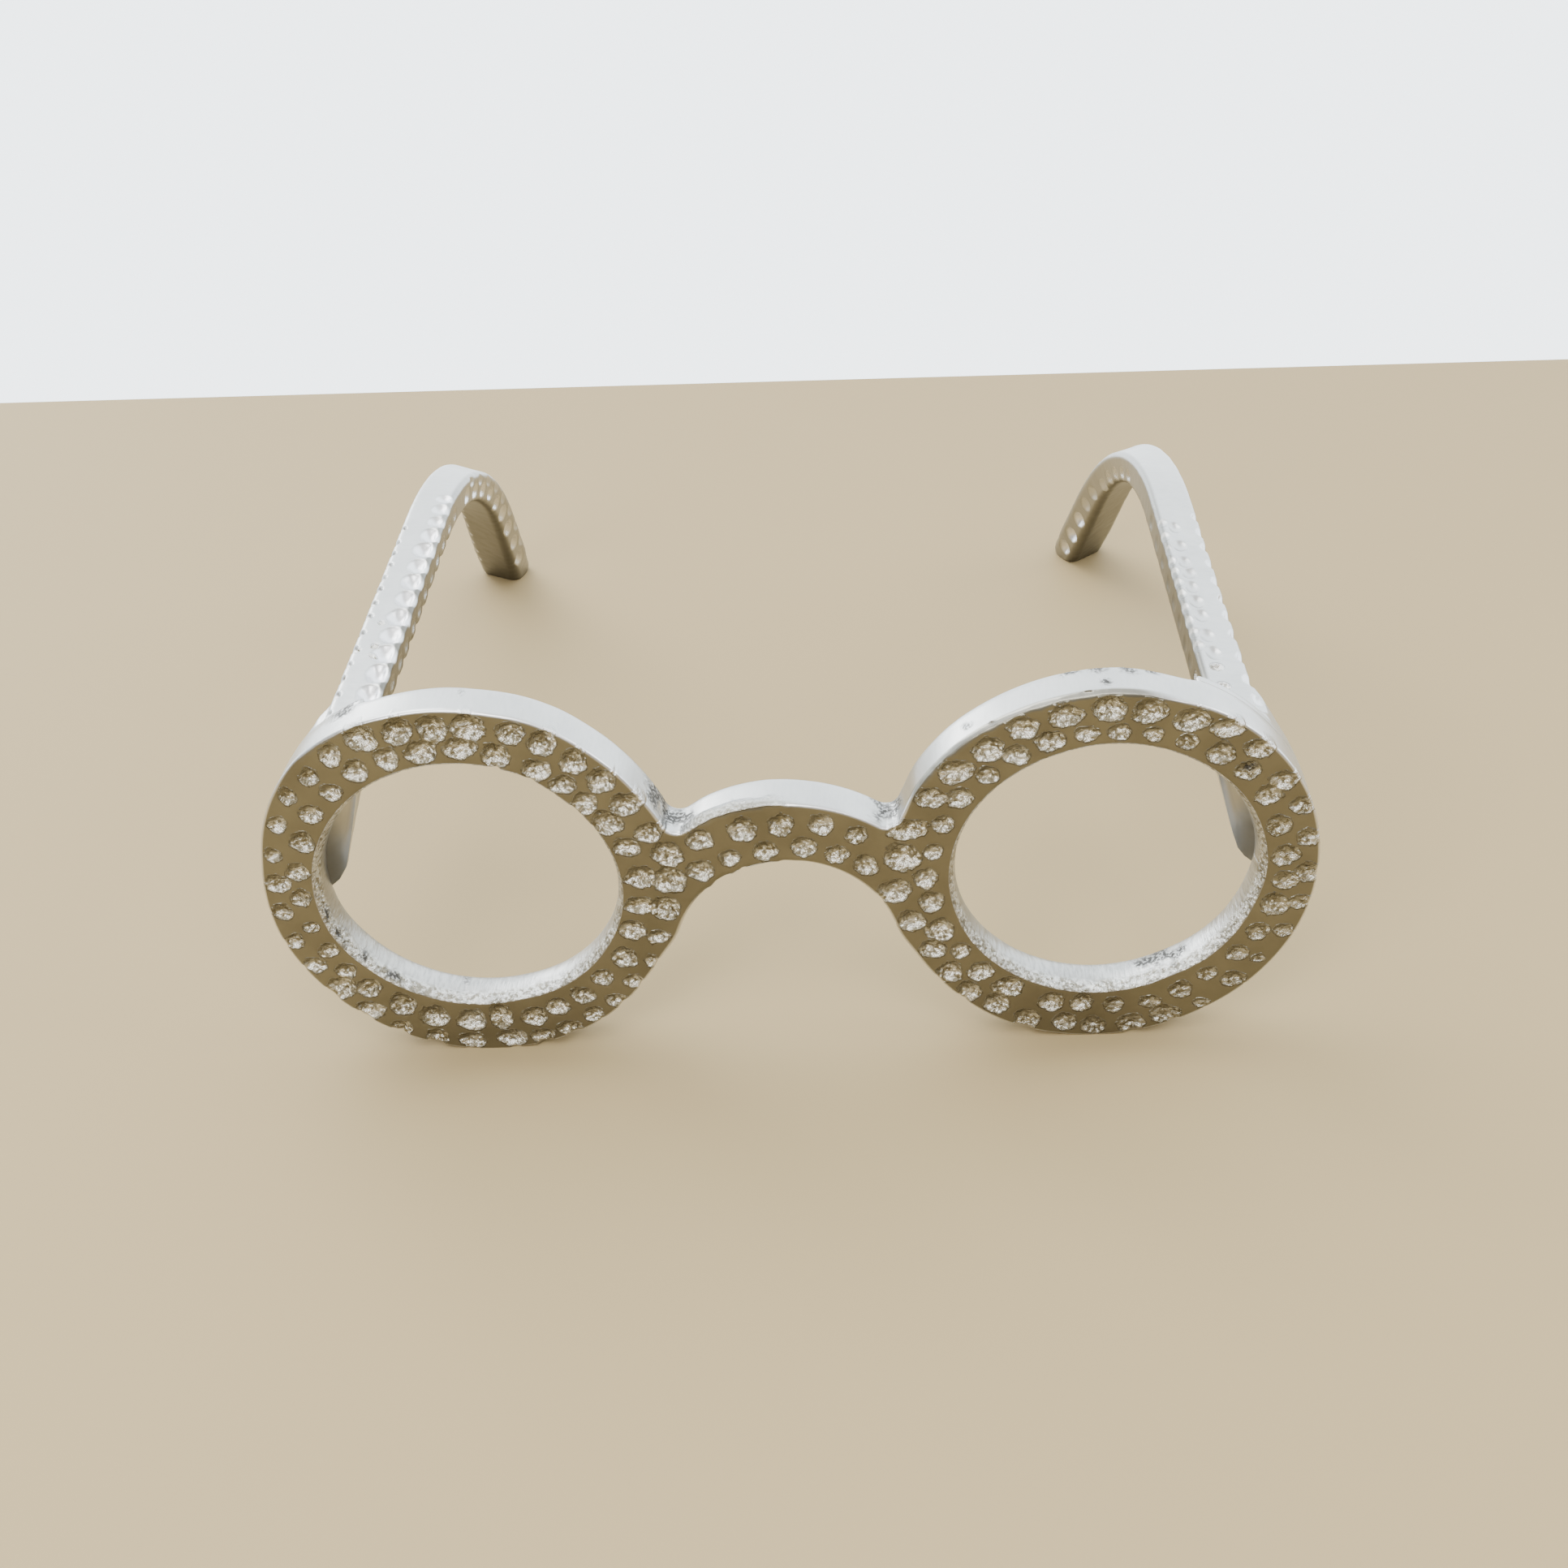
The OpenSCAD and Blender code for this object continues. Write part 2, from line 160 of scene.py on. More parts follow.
# Rows of pits on each temple: direction from the bar's middle in degrees from outward and up,
# places along it, length, width and depth, then how crinkled they are and how strongly they are
# painted bright as a highlight.
# Where the photograph shows a row clearly, its places come from readings in the same way
TEMPLE_ROWS = {
    LEFT: (
        (126, (15.6, 23.2, 31, 38.3, 45.3, 53, 60.2, 67.4, 74.6, 81.5), 6.9, 5.4, 1.6, 0, 1),
        (127, (88, 94, 100), 5.6, 4.6, 1, 0, 0.8),
        (37, (9, 15, 21, 26.7, 32.3, 38.7, 45.3, 50.9, 56.6, 62.1, 67.5, 72.7, 78, 84), 2.7, 2.4,
         0.95, 0, 0),
        (90, (30.1, 33.4), 2.3, 1.8, 0.8, 1, 1),
        (77, (42.6,), 1.9, 1.6, 0.6, 1, 1),
        (48, (31.6,), 1.9, 1.6, 0.6, 1, 1),
        (186, (12, 19, 26, 34, 41, 49, 56, 63, 71, 78, 86, 94, 101), 5.2, 3.4, 0.5, 0.1, 0.25),
        (213, (10, 17, 24, 31, 38, 45, 52, 60, 67, 75, 82, 90), 4.6, 3.6, 0.7, 0.05, 0.1),
        (188, (117, 127.5, 138, 148.5, 159, 169.5, 180, 190.5, 201), 7.6, 4.4, 1.3, 0.08, 0.8),
        (158, (122, 132.5, 143, 153.5, 164, 174.5, 185, 195.5), 6.6, 3, 0.6, 0, 0.3),
        (322, (126, 132.5, 139, 145, 151, 157, 163, 169, 175, 181, 187, 193, 199, 205), 3.2, 3,
         0.8, 0, 0.5),
        (200, (4.5, 9, 13.5), 4, 4.5, 0.9, 0.3, 0.3),
        (230, (3.5, 8, 12.5), 4.5, 4.5, 0.9, 0.3, 0.3),
        (217, (3, 7), 3.6, 3.6, 0.9, 0.3, 0.3),
        (229, (2.4, 6), 3.6, 3.6, 0.9, 0.3, 0.3),
        (240, (2.2, 5.4), 3.6, 3.6, 0.9, 0.3, 0.3),
        (249, (2.2, 5.4), 3.6, 3.6, 0.9, 0.3, 0.3)),
    RIGHT: (
        (139, (26.5, 31.5, 36.3, 41.8, 47.1, 52, 56.4, 60.9, 66.4, 72, 78), 4.2, 2.6, 0.5, 0, 0.1),
        (112, (24.2, 31, 38.6, 44.1, 50.3, 56.1, 60.9, 68, 76.5), 5.4, 3.4, 0.75, 0, 0.15),
        (110, (12.1, 19.1), 3.4, 3.2, 0.9, 0.8, 1),
        (37, (9, 15.5, 23.6, 32.5, 39.8, 46.3, 53.7, 61.4, 68.8, 75.4, 82.5), 4.6, 3, 0.75, 0, 0.8),
        (184, (8, 14, 20.5), 4.4, 3, 0.5, 0.5, 0.6),
        (184, (27, 34, 42, 50, 58, 67, 76, 85), 5, 3.4, 0.2, 0, 0),
        (184, (167.5, 177), 6, 4, 0.9, 0, 0.45),
        (182, (187, 197, 206.5), 7.2, 5, 2, 0, 1),
        (196, (120, 129, 138, 147, 156), 6.6, 4.2, 0.7, 0.1, 0.5),
        (200, (3.5, 8, 12.5), 4.5, 4.5, 0.9, 0.3, 0.3),
        (230, (4.5, 9.5, 14), 4, 4.5, 0.9, 0.3, 0.3),
        (217, (3, 7), 3.6, 3.6, 0.9, 0.3, 0.3),
        (229, (2.4, 6), 3.6, 3.6, 0.9, 0.3, 0.3),
        (240, (2.2, 5.4), 3.6, 3.6, 0.9, 0.3, 0.3)),
}
# How much of the hand grinding is lost at the back, at the outer edge and at an opening's, and
# how far from the middle the bridge's plain edges end and the rims' ground ones begin
OUTER_LOSS, INNER_LOSS, GROUND_FROM = 0.35, 0.5, (18, 24)
# How far a filed edge stands out, and how deep its bevel reaches
BEVEL_STAND, BEVEL_DEPTH = 0.45, 0.85
# Directions in which a temple's foot begins and ends to cover a rim's edges, and how much sharper
# the back edges are there
FOOT_BEGINS, FOOT_ENDS, UNDER_FOOT = (-14, -9), (70, 64), 0.85
# How deep a pit on the edge shows on the wall, and how wide the coarse strip in an opening is
PIT_ON_WALL, COARSE_STRIP = 3.6, 2.8
# Distances between vertices: round the edges, in and near the face's pits and on the plain back
EDGE_STEP, FACE_STEP, BACK_STEP = 0.5, 0.27, 2.2
# Away from the pits only every third vertex of the face stays, in both directions
THINNED = 3
# Loose vertices keep this far from the rounded edges of the face and of the back
FACE_MARGIN, BACK_MARGIN = 0.16, 0.7
# Depths of the rows of vertices down the walls, between their rounded edges
WALL_ROWS = (1.1, 1.5, 2.0, 2.6, 3.3, 4.1, 5.0, 5.9, 6.9)
# Radius that breaks the front edge of each opening
LENS_FRONT = 0.3
# Vertices round a temple, the distances between its rows of them on the foot, on the bar and on
# the hook, and how far from the rim the foot's rows go
COLUMNS, FOOT_STEP, BAR_STEP, HOOK_STEP, FOOT_ROWS = 128, 0.3, 0.31, 0.38, 34
# Length over which the hook's end shrinks to the ball of its tip, and how much further the hook
# reaches than the CAD's
TIP_BLEND, HOOK_STRETCH = 9, 2.2
# Power of the curve that the tip's ball follows, what the hook adds to the radius of the bar's
# edges, and the share of its extra width that also goes into its height
TIP_POWER, HOOK_ROUNDER, HOOK_TALLER = 2.6, 0.5, 0.6
# A direction that leads less than this towards a side never meets it, and the side is then far off
NOTHING, FAR_OFF = 1e-6, 1e6
# Vertices round a pin, the distances between its rows on the thread and on a plain side, and how
# far the thread climbs in a turn
PIN_COLUMNS, THREAD_STEP, DOWEL_STEP, THREAD_PITCH = 40, 0.1, 0.4, 0.7
# Share of the front's brightness that the temples' painted shade colour has, darker than the face's
TEMPLE_PAINTED_SHADE = 0.42
# Colours of the metal's porous patches and of the pores in them, and how much of the colour of the
# painted glints in a pit the metal between them has
POROUS_GREY, PORE_DARK = (0.16, 0.16, 0.155), (0.05, 0.048, 0.045)
BETWEEN_PAINTED_GLINTS = (0.30, 0.27, 0.20)
# The stage, in metres: the floor's corners, the point that every lamp faces and the camera's
# sensor width in millimetres
FLOOR_CORNERS = ((-1.6, -1.6, 0), (1.6, -1.6, 0), (1.6, 0.185, 0), (-1.6, 0.273, 0))
LIT_POINT = Vector((0, 0, 0.03))
SENSOR = 36


def a_length(name, description, default, low, high):
    """A size in metres"""
    return FloatProperty(
        name=name, description=description, default=default, min=low, max=high, unit="LENGTH")


def an_angle(name, description, default, low, high):
    """An angle, given in degrees"""
    default, low, high = (math.radians(k) for k in (default, low, high))
    return FloatProperty(
        name=name, description=description, default=default, min=low, max=high, subtype="ANGLE")


def a_share(name, description, default, low, high):
    """A share of something else"""
    return FloatProperty(
        name=name, description=description, default=default, min=low, max=high, subtype="FACTOR")


def a_colour(name, description, default):
    """A colour without its opacity"""
    return FloatVectorProperty(
        name=name, description=description, default=default, min=0, max=1, size=3, subtype="COLOR")


class FrontSizes(bpy.types.PropertyGroup):
    """Sizes of the front frame"""

    width: a_length("Width", "Width over both rims", 0.2, 0.18, 0.23)
    rim: a_length("Rim", "Outer diameter of each rim", 0.0808, 0.07, 0.09)
    lens: a_length("Opening", "Diameter of each lens opening", 0.0584, 0.05, 0.06)
    lens_shift: a_length(
        "Opening's shift", "How far each opening stands outboard of its rim's centre",
        0.0007, 0, 0.0012)
    depth: a_length(
        "Depth", "Depth of the casting from its face to its back",
        FRONT_HIGH.y - FRONT_LOW.y, 0.007, 0.012)
    ground: a_length("Ground flat", "Depth of the flats on which the rims stand", 0.0004, 0, 0.001)
    swell: a_length(
        "Wall's swell", "How far the inner wall of a rim swells into the opening", 0.0011, 0, 0.002)
    front_edge: a_length("Front edge", "Radius that breaks the front edges", 0.0006, 0.0002, 0.001)
    back_edge: a_length("Back edge", "Radius that rounds the back edges", 0.0012, 0.0005, 0.002)
    bridge_crown: a_length(
        "Bridge's crown", "Height of the bridge's crown above the table", 0.0584, 0.054, 0.062)
    bridge_spread: a_length(
        "Bridge's spread", "How much larger the bridge's top arc is than the nose arch",
        0.011, 0.005, 0.014)
    nose_crown: a_length(
        "Nose arch", "Height of the nose arch above the table", 0.0454, 0.041, 0.048)
    notch: a_length(
        "Notch", "Radius of the hollow between the bridge and a rim", 0.0025, 0.001, 0.004)


class TempleSizes(bpy.types.PropertyGroup):
    """Sizes of the two temples"""

    reach: a_length(
        "Overall depth", "Depth from the front face to the hook tips", 0.205, 0.18, 0.23)
    width: a_length("Bar's width", "Width of a temple bar", 0.0093, 0.007, 0.011)
    height: a_length("Bar's height", "Height of a temple bar", 0.007, 0.006, 0.01)
    edge: a_length("Bar's edges", "Radius of the bar's long edges", 0.0014, 0.0005, 0.0024)
    left_joint: an_angle(
        "Left joint", "Where the left temple leaves its rim, above level", 48, 40, 60)
    right_joint: an_angle(
        "Right joint", "Where the right temple leaves its rim, above level", 43.5, 40, 60)
    left_lean: an_angle("Left lean", "How far the left hook leans outward", 5, -8, 8)
    right_lean: an_angle("Right lean", "How far the right hook leans outward", -7, -8, 8)
    bend: a_length("Bend", "Radius of the bend into the hook", 0.105, 0.06, 0.12)
    hook: an_angle("Hook's slope", "Slope of the hook below level", 50, 40, 60)
    left_twist: an_angle("Left twist", "How far the left hook turns about its own line", 20, 0, 45)
    right_twist: an_angle(
        "Right twist", "How far the right hook turns about its own line", 36, 0, 45)
    fuller: a_share(
        "Fuller hook", "How much wider the bar is at the tip, as a share of its width",
        0.42, 0, 0.5)
    tip: a_length("Tip", "Radius of the domed tip", 0.0064, 0.006, 0.008)
    chord: a_length(
        "Foot's inner side", "Distance from the rim's centre to the foot's inner side",
        0.025, 0.022, 0.027)
    chord_angle: an_angle(
        "Foot's direction", "Direction of the foot's inner side above level", 15, 0, 30)
    corner: a_length(
        "Foot's corner", "Distance from the rim's centre at which the foot's low corner is dressed",
        0.0175, 0.014, 0.02)
    low_angle: an_angle("Foot's end", "Where the foot ends on the rim, below level", 13, 0, 25)
    pad: a_length("Pad", "Thickness of the foot's pad", 0.002, 0.001, 0.004)
    under: a_length("Hollow under", "Radius of the hollow under the bar", 0.028, 0.01, 0.034)
    over: a_length("Hollow over", "Radius of the hollow above the bar", 0.004, 0.002, 0.014)
    outer: a_length(
        "Hollow outside", "Radius of the hollow on the bar's outer side", 0.02, 0.01, 0.026)
    inner: a_length(
        "Hollow inside", "Radius of the hollow on the bar's inner side", 0.01, 0.004, 0.016)


class SurfaceSizes(bpy.types.PropertyGroup):
    """How the hammered and cast surfaces are shaped"""

    pit_depth: a_share("Pit depth", "Depth of a pit as a share of its width", 0.22, 0.1, 0.4)
    crinkle: a_length("Crinkle", "Height of the crinkles in the pits", 0.00016, 0, 0.0004)
    grain: a_length("Grain", "Size of one crinkle", 0.0010, 0.0004, 0.002)


class Finishes(bpy.types.PropertyGroup):
    """Colours of the metal, with darker and brighter copies of it painted as shade and highlights
    """

    plate: a_colour("Plating", "Polished plating on the outside", (0.50, 0.50, 0.485))
    # Painted shade: the face's darker brown is a shaded reflection painted into its colour
    face: a_colour("Face", "The flat face, toned darker", (0.205, 0.194, 0.155))
    # Painted highlight: bright colour for the temples' bowls and the face's front edges
    painted_highlight: a_colour("Bare", "Bright bowls on the temples", (0.74, 0.74, 0.75))
    # Painted highlight: the pits' bright colour is a lit copy of the plating
    pit: a_colour("Pits", "Bright bottoms of the pits", (0.76, 0.76, 0.72))
    steel: a_colour("Steel", "Studs and dowels", (0.46, 0.46, 0.47))


class StageSettings(bpy.types.PropertyGroup):
    """Floor, light and camera"""

    floor: a_colour("Floor", "Colour of the floor", (0.315, 0.240, 0.122))
    back_light: a_colour(
        "Back of the room", "Colour of the bright back of the room", (0.88, 0.95, 1.0))
    front_light: a_colour(
        "Front of the room", "Colour of the dim front of the room", (0.14, 0.13, 0.115))
    ceiling: a_colour("Ceiling", "Colour of the ceiling", (0.42, 0.42, 0.41))
    room: FloatProperty(
        name="Room's strength", description="Strength of the light from all sides", default=4.2,
        min=0, max=8)
    key: FloatProperty(
        name="Main light", description="Power of the large light above", default=9, min=0, max=200,
        unit="POWER")
    front: FloatProperty(
        name="Front light", description="Power of the light in front and on the left", default=6,
        min=0, max=200, unit="POWER")
    eye: FloatVectorProperty(
        name="Camera", description="Place of the camera", default=(0.01851, -0.39089, 0.26389),
        size=3, subtype="TRANSLATION")
    aim: FloatVectorProperty(
        name="Aim", description="Point that the camera looks at",
        default=(0.00099, -0.1025, 0.06311), size=3, subtype="TRANSLATION")
    roll: FloatProperty(
        name="Roll", description="Turn of the camera about its axis", default=-0.0632,
        subtype="ANGLE")
    lens: FloatProperty(
        name="Lens", description="Focal length on a 36 mm sensor, in millimetres", default=44.32,
        min=10, max=200)


# Uneven surfaces


def scatter(x, y, z, seed):
    """Repeatable random number from 0 to 1 for each whole-number point"""
    h = (x * 73856093) ^ (y * 19349663) ^ (z * 83492791) ^ np.int64(seed * 40503 + 977)
    h = (h & np.int64(0xFFFFFFFF)).astype(np.uint64)
    for shift, factor in ((15, 2246822519), (13, 3266489917)):
        h = ((h ^ (h >> np.uint64(shift))) * np.uint64(factor)) & np.uint64(0xFFFFFFFF)
    return ((h ^ (h >> np.uint64(16))) & np.uint64(0xFFFFFF)).astype(float) / 0xFFFFFF


def uneven(p, size, seed):
    """Smooth field of hills and hollows of about the given size, from -1 to 1, at points p"""
    q = p / size
    base = np.floor(q)
    f = q - base
    f = f * f * (3 - 2 * f)
    base = base.astype(np.int64)
    total = np.zeros(len(p))
    for corner in product((0, 1), repeat=3):
        share = np.prod(np.where(corner, f, 1 - f), axis=1)
        total += share * scatter(*(base + corner).T, seed)
    return 2 * total - 1


def upright(p):
    """Flat points as places in space"""
    return np.column_stack([p[:, 0], np.zeros(len(p)), p[:, 1]])


def ease(low, high, x):
    """Smooth step from 0 at low to 1 at high"""
    t = np.clip((x - low) / (high - low), 0, 1)
    return t * t * (3 - 2 * t)


def chance(count, seed):
    """A fixed row of random numbers from 0 to 1"""
    n = np.arange(count, dtype=np.int64)
    return scatter(n * 7 + 3, n * 13 + 5, n * 29 + 1, seed)


def foil(p, size, seed):
    """Sharp-ridged crumples of about the given size, from -1 to 1, at points p"""
    return 1 - 2.4 * np.minimum(np.abs(uneven(p, size, seed)), 0.83)


def bowl(reach, depth):
    """Depth of a dish with a soft edge at a share of its reach from the middle"""
    return depth * np.clip(1 - np.clip(reach, 0, 1) ** 2.2, 0, 1) ** 1.25


# The front casting


def meeting(a, ra, b, rb):
    """Upper crossing of two circles"""
    a, b = Vector(a), Vector(b)
    span = (b - a).length
    along = (ra * ra - rb * rb + span * span) / (2 * span)
    across = math.sqrt(ra * ra - along * along)
    way = (b - a) / span
    return a + along * way + across * Vector((way.y, -way.x))


def front_shape(sizes):
    """Circles that the outline is made of, in millimetres"""
    rim_r = sizes.rim / MM / 2
    rim = (sizes.width / MM / 2 - rim_r, rim_r - sizes.ground / MM)
    crown = sizes.nose_crown / MM
    drop = rim[1] - crown
    nose_r = (rim[0] ** 2 + drop ** 2 - rim_r ** 2) / (2 * (rim_r - drop))
    nose = (0, crown - nose_r)
    bridge_r = nose_r + sizes.bridge_spread / MM
    bridge = (0, sizes.bridge_crown / MM - bridge_r)
    notch_r = sizes.notch / MM
    notch = meeting(rim, rim_r + notch_r, bridge, bridge_r + notch_r)
    share = nose_r / (rim_r + nose_r)
    return SimpleNamespace(
        rim=rim, rim_r=rim_r, nose=nose, nose_r=nose_r, bridge=bridge, bridge_r=bridge_r,
        notch=(notch.x, notch.y), notch_r=notch_r,
        meet=(rim[0] * share, nose[1] + (rim[1] - nose[1]) * share),
        lens=(rim[0] + sizes.lens_shift / MM, rim[1]), lens_r=sizes.lens / MM / 2,
        depth=sizes.depth / MM, front=FRONT_LOW.y / MM, swell=sizes.swell / MM,
        front_edge=sizes.front_edge / MM, back_edge=sizes.back_edge / MM)


def toward(a, b):
    """Direction from one flat point to another"""
    return math.atan2(b[1] - a[1], b[0] - a[0])


def arc(centre, r, start, end, out, step):
    """Points on an arc and the directions that lead out of the metal there"""
    count = max(3, round(abs(end - start) * r / step))
    turn = np.linspace(start, end, count, endpoint=False)
    way = np.column_stack([np.cos(turn), np.sin(turn)])
    return np.array(centre) + r * way, out * way


def outline(g, step):
    """The casting's outer edge, once round"""
    rim_l, notch_l = (-g.rim[0], g.rim[1]), (-g.notch[0], g.notch[1])
    points, outs = [], []
    for centre, r, start, end, out, turns in (
            (g.rim, g.rim_r, g.nose, g.notch, 1, 0), (g.notch, g.notch_r, g.rim, g.bridge, -1, 0),
            (g.bridge, g.bridge_r, g.notch, notch_l, 1, 0),
            (notch_l, g.notch_r, g.bridge, rim_l, -1, 0), (rim_l, g.rim_r, notch_l, g.nose, 1, 1),
            (g.nose, g.nose_r, rim_l, g.rim, -1, 0)):
        last = toward(centre, end) + turns * 2 * math.pi
        spots, ways = arc(centre, r, toward(centre, start), last, out, step)
        points.append(spots)
        outs.append(ways)
    return np.vstack(points), np.vstack(outs)


def lens_edge(g, side, step):
    """The edge of one lens opening, once round the other way"""
    centre = (side * g.lens[0], g.lens[1])
    return arc(centre, g.lens_r, 2 * math.pi, 0, -1, step)


def in_metal(g, p, edge, lens_edge_r):
    """Which flat points lie in the casting and at least so far from its edges"""
    x, z = np.abs(p[:, 0]), p[:, 1]

    def far(c):
        return np.hypot(x - c[0], z - c[1])

    solid = far(g.rim) < g.rim_r - edge
    solid |= (far(g.bridge) < g.bridge_r - edge) & (x < g.meet[0] + 2) & (z > g.meet[1])
    rim, bridge, notch = Vector(g.rim), Vector(g.bridge), Vector(g.notch)
    a = rim + (notch - rim) * (g.rim_r - edge) / (g.rim_r + g.notch_r)
    b = bridge + (notch - bridge) * (g.bridge_r - edge) / (g.bridge_r + g.notch_r)
    c = Vector((notch.x, notch.y - 3 * g.notch_r))
    web = np.ones(len(p), bool)
    for u, v in ((a, b), (b, c), (c, a)):
        web &= (v.x - u.x) * (z - u.y) - (v.y - u.y) * (x - u.x) > 0
    solid |= web
    solid &= far(g.notch) > g.notch_r + edge
    solid &= far(g.nose) > g.nose_r + edge
    return solid & (far(g.lens) > g.lens_r + lens_edge_r)


def face_pits():
    """All pits of the face, each with its depth and its painted brightness as shares of the common
    ones
    """
    pits = []
    for row, grown in ((LEFT_PITS, 1), (RIGHT_PITS, 1), (BRIDGE_PITS, BRIDGE_GROWN)):
        for x, z, w, h in row:
            faint = (both for left, right, top, *both in FAINT_PITS if left < x < right and z < top)
            pits.append((x, z, grown * w, grown * h, *next(faint, (1.0, 1.0))))
    return pits


def hammered(p, surface):
    """Depth of the face's pits at flat points, how bright they are painted there, and how near a
    pit is
    """
    depth, bright, near = np.zeros(len(p)), np.zeros(len(p)), np.full(len(p), 9.0)
    crinkled = np.zeros(len(p))
    flat = upright(p)
    ragged = 0.05 * uneven(flat, 1.4, 11) + 0.08 * uneven(flat, 0.6, 12)
    for n, (x, z, w, h, share, pit_highlight_share) in enumerate(face_pits()):
        dx, dz = (p[:, 0] - x) / (w / 2), (p[:, 1] - z) / (h / 2)
        here = np.flatnonzero((np.abs(dx) < 1.5) & (np.abs(dz) < 1.5))
        if not len(here):
            continue
        dx, dz = dx[here], dz[here]
        turn, edge = np.arctan2(dz, dx), 1.10
        for (high, waves), start in zip(PIT_WAVES, 2 * math.pi * chance(3, n + 50)):
            edge = edge + high * np.sin(waves * turn + start)
        reach = np.hypot(dx, dz) / edge + ragged[here]
        dish = bowl(reach, surface.pit_depth * min(w, h) * share)
        # Painted light in each pit: its upper left is painted in shade and its lower right as a
        # highlight
        painted_shade_side = ease(-0.1, 0.75, 0.92 * dz - 0.42 * dx + 2.2 * ragged[here])
        deeper = dish > depth[here]
        painted_brightness = pit_highlight_share * (1 - painted_shade_side) * ease(0.99, 0.8, reach)
        painted_brightness = ease(1.0, 0.9, reach) * (0.3 + 0.7 * painted_brightness)
        bright[here] = np.where(deeper, painted_brightness, bright[here])
        folds = ease(1.02, 0.8, reach) * (1 - 0.3 * painted_shade_side)
        crinkled[here] = np.where(deeper, folds, crinkled[here])
        depth[here] = np.maximum(depth[here], dish)
        near[here] = np.minimum(near[here], reach)
    crinkle, grain = surface.crinkle / MM, surface.grain / MM
    rough = 0.7 * crinkle * foil(flat, grain, 21) + 1.1 * crinkle * uneven(flat, grain * 0.7, 22)
    return np.maximum(depth + crinkled * rough, 0), bright, near


def hand_made(g, p, depth):
    """Moves flat points at a depth, so that the rims have their hand-ground edges"""
    moved = p.copy()
    every = np.arange(360)
    back = np.clip(depth / g.depth, 0, 1) * np.ones(len(p))
    for side, (outer, inner) in RIM_EDGES.items():
        here = p[:, 0] * side > 0
        dx, dz = p[here, 0] - side * g.rim[0], p[here, 1] - g.rim[1]
        far = np.hypot(dx, dz)
        turn = np.degrees(np.arctan2(dz, dx)) % 360
        radii = []
        for edge in (outer, inner):
            table = np.interp(every, *zip(*edge), period=360)
            table = sum(np.roll(table, k) for k in range(-4, 5)) / 9
            radii.append(np.interp(turn, every, table, period=360))
        opening = g.lens_r + side * (g.lens[0] - g.rim[0]) * np.cos(np.radians(turn))
        share = ease(opening, g.rim_r, far)
        move = share * (radii[0] - g.rim_r) * (1 - OUTER_LOSS * back[here])
        move += (1 - share) * (radii[1] - opening) * (1 - INNER_LOSS * back[here])
        move *= ease(*GROUND_FROM, np.abs(p[here, 0]))
        moved[here] += np.column_stack([dx, dz]) / np.maximum(far, 1)[:, None] * move[:, None]
    return moved


def bevel(g, p):
    """How far the outer edge is filed at flat points on it, smooth and chewed, and crumbled"""
    turn = np.degrees(np.arctan2(p[:, 1] - g.rim[1], np.abs(p[:, 0]) - g.rim[0]))
    turn = np.where(p[:, 0] > 0, turn, 180 - turn)
    rims = np.zeros(len(p))
    for side, share, start, end in FILED_EDGES:
        filed = (p[:, 0] * side > 0) * share * ease(*start, turn) * ease(*end, turn)
        rims = np.maximum(rims, filed)
    on_bridge = (p[:, 1] > g.meet[1]) & (np.hypot(p[:, 0], p[:, 1] - g.bridge[1]) < g.bridge_r + 1)
    bridge = 0.55 * on_bridge * ease(18, 14, np.abs(p[:, 0])) * ease(6, -4, p[:, 0])
    smooth = np.clip(rims + bridge, 0, 1)
    spot = upright(p)
    chewed = 0.3 * uneven(spot, 3.0, 45) + (0.2 + 0.7 * (bridge > 0)) * uneven(spot, 1.1, 44)
    crumbs = on_bridge * ease(19.5, 17, np.abs(p[:, 0])) * ease(4, -8, p[:, 0])
    return smooth, np.clip(smooth * (1 + chewed), 0, 1.4), crumbs


def porous(p):
    """How much each point lies in a porous patch"""
    share = np.zeros(len(p))
    for x, y, z, r in POROUS:
        away = np.linalg.norm(p - (x, y, z), axis=1) / r
        share = np.maximum(share, ease(1.0, 0.35, away + 0.5 * uneven(p, 1.6, 31)))
    x, z, r = FACE_PORES
    on_face = ease(*FACE_BEGINS, p[:, 1]) * (np.hypot(p[:, 0] - x, p[:, 2] - z) > r)
    return share * (1 - on_face)


def plate(loops, inner, centres):
    """Points and triangles of a flat plate: its outer loop, its holes' loops and loose points"""
    edges, start = [], 0
    for loop in loops:
        n = len(loop)
        edges += [(start + i, start + (i + 1) % n) for i in range(n)]
        start += n
    points = np.vstack([*loops, inner])
    made = geometry.delaunay_2d_cdt([Vector(p) for p in points.tolist()], edges, [], 1, 1e-6)
    order = np.array([o[0] for o in made[3]])
    faces = order[np.array(made[2])]
    middle = points[faces].mean(axis=1)
    keep = np.ones(len(faces), bool)
    for centre, loop in zip(centres, loops[1:]):
        edge, spot = loop - centre, middle - centre
        limit = np.interp(np.arctan2(spot[:, 1], spot[:, 0]), np.arctan2(edge[:, 1], edge[:, 0]),
                          np.hypot(edge[:, 0], edge[:, 1]), period=2 * math.pi)
        keep &= np.hypot(spot[:, 0], spot[:, 1]) > limit
    return points, faces[keep]


def loose_points(low, high, step, seed):
    """Points on a honeycomb, a little out of line, with the column and row of each"""
    cols = np.arange(int((high[0] - low[0]) / step))
    rows = np.arange(int((high[1] - low[1]) / (step * 0.866)))
    c, r = (k.ravel() for k in np.meshgrid(cols, rows))
    p = np.column_stack([low[0] + (c + 0.5 * (r % 2)) * step, low[1] + r * step * 0.866])
    p[:, 0] += step * 0.3 * (scatter(c, r, c * 0, seed) - 0.5)
    p[:, 1] += step * 0.3 * (scatter(c, r, c * 0, seed + 1) - 0.5)
    return p, c, r


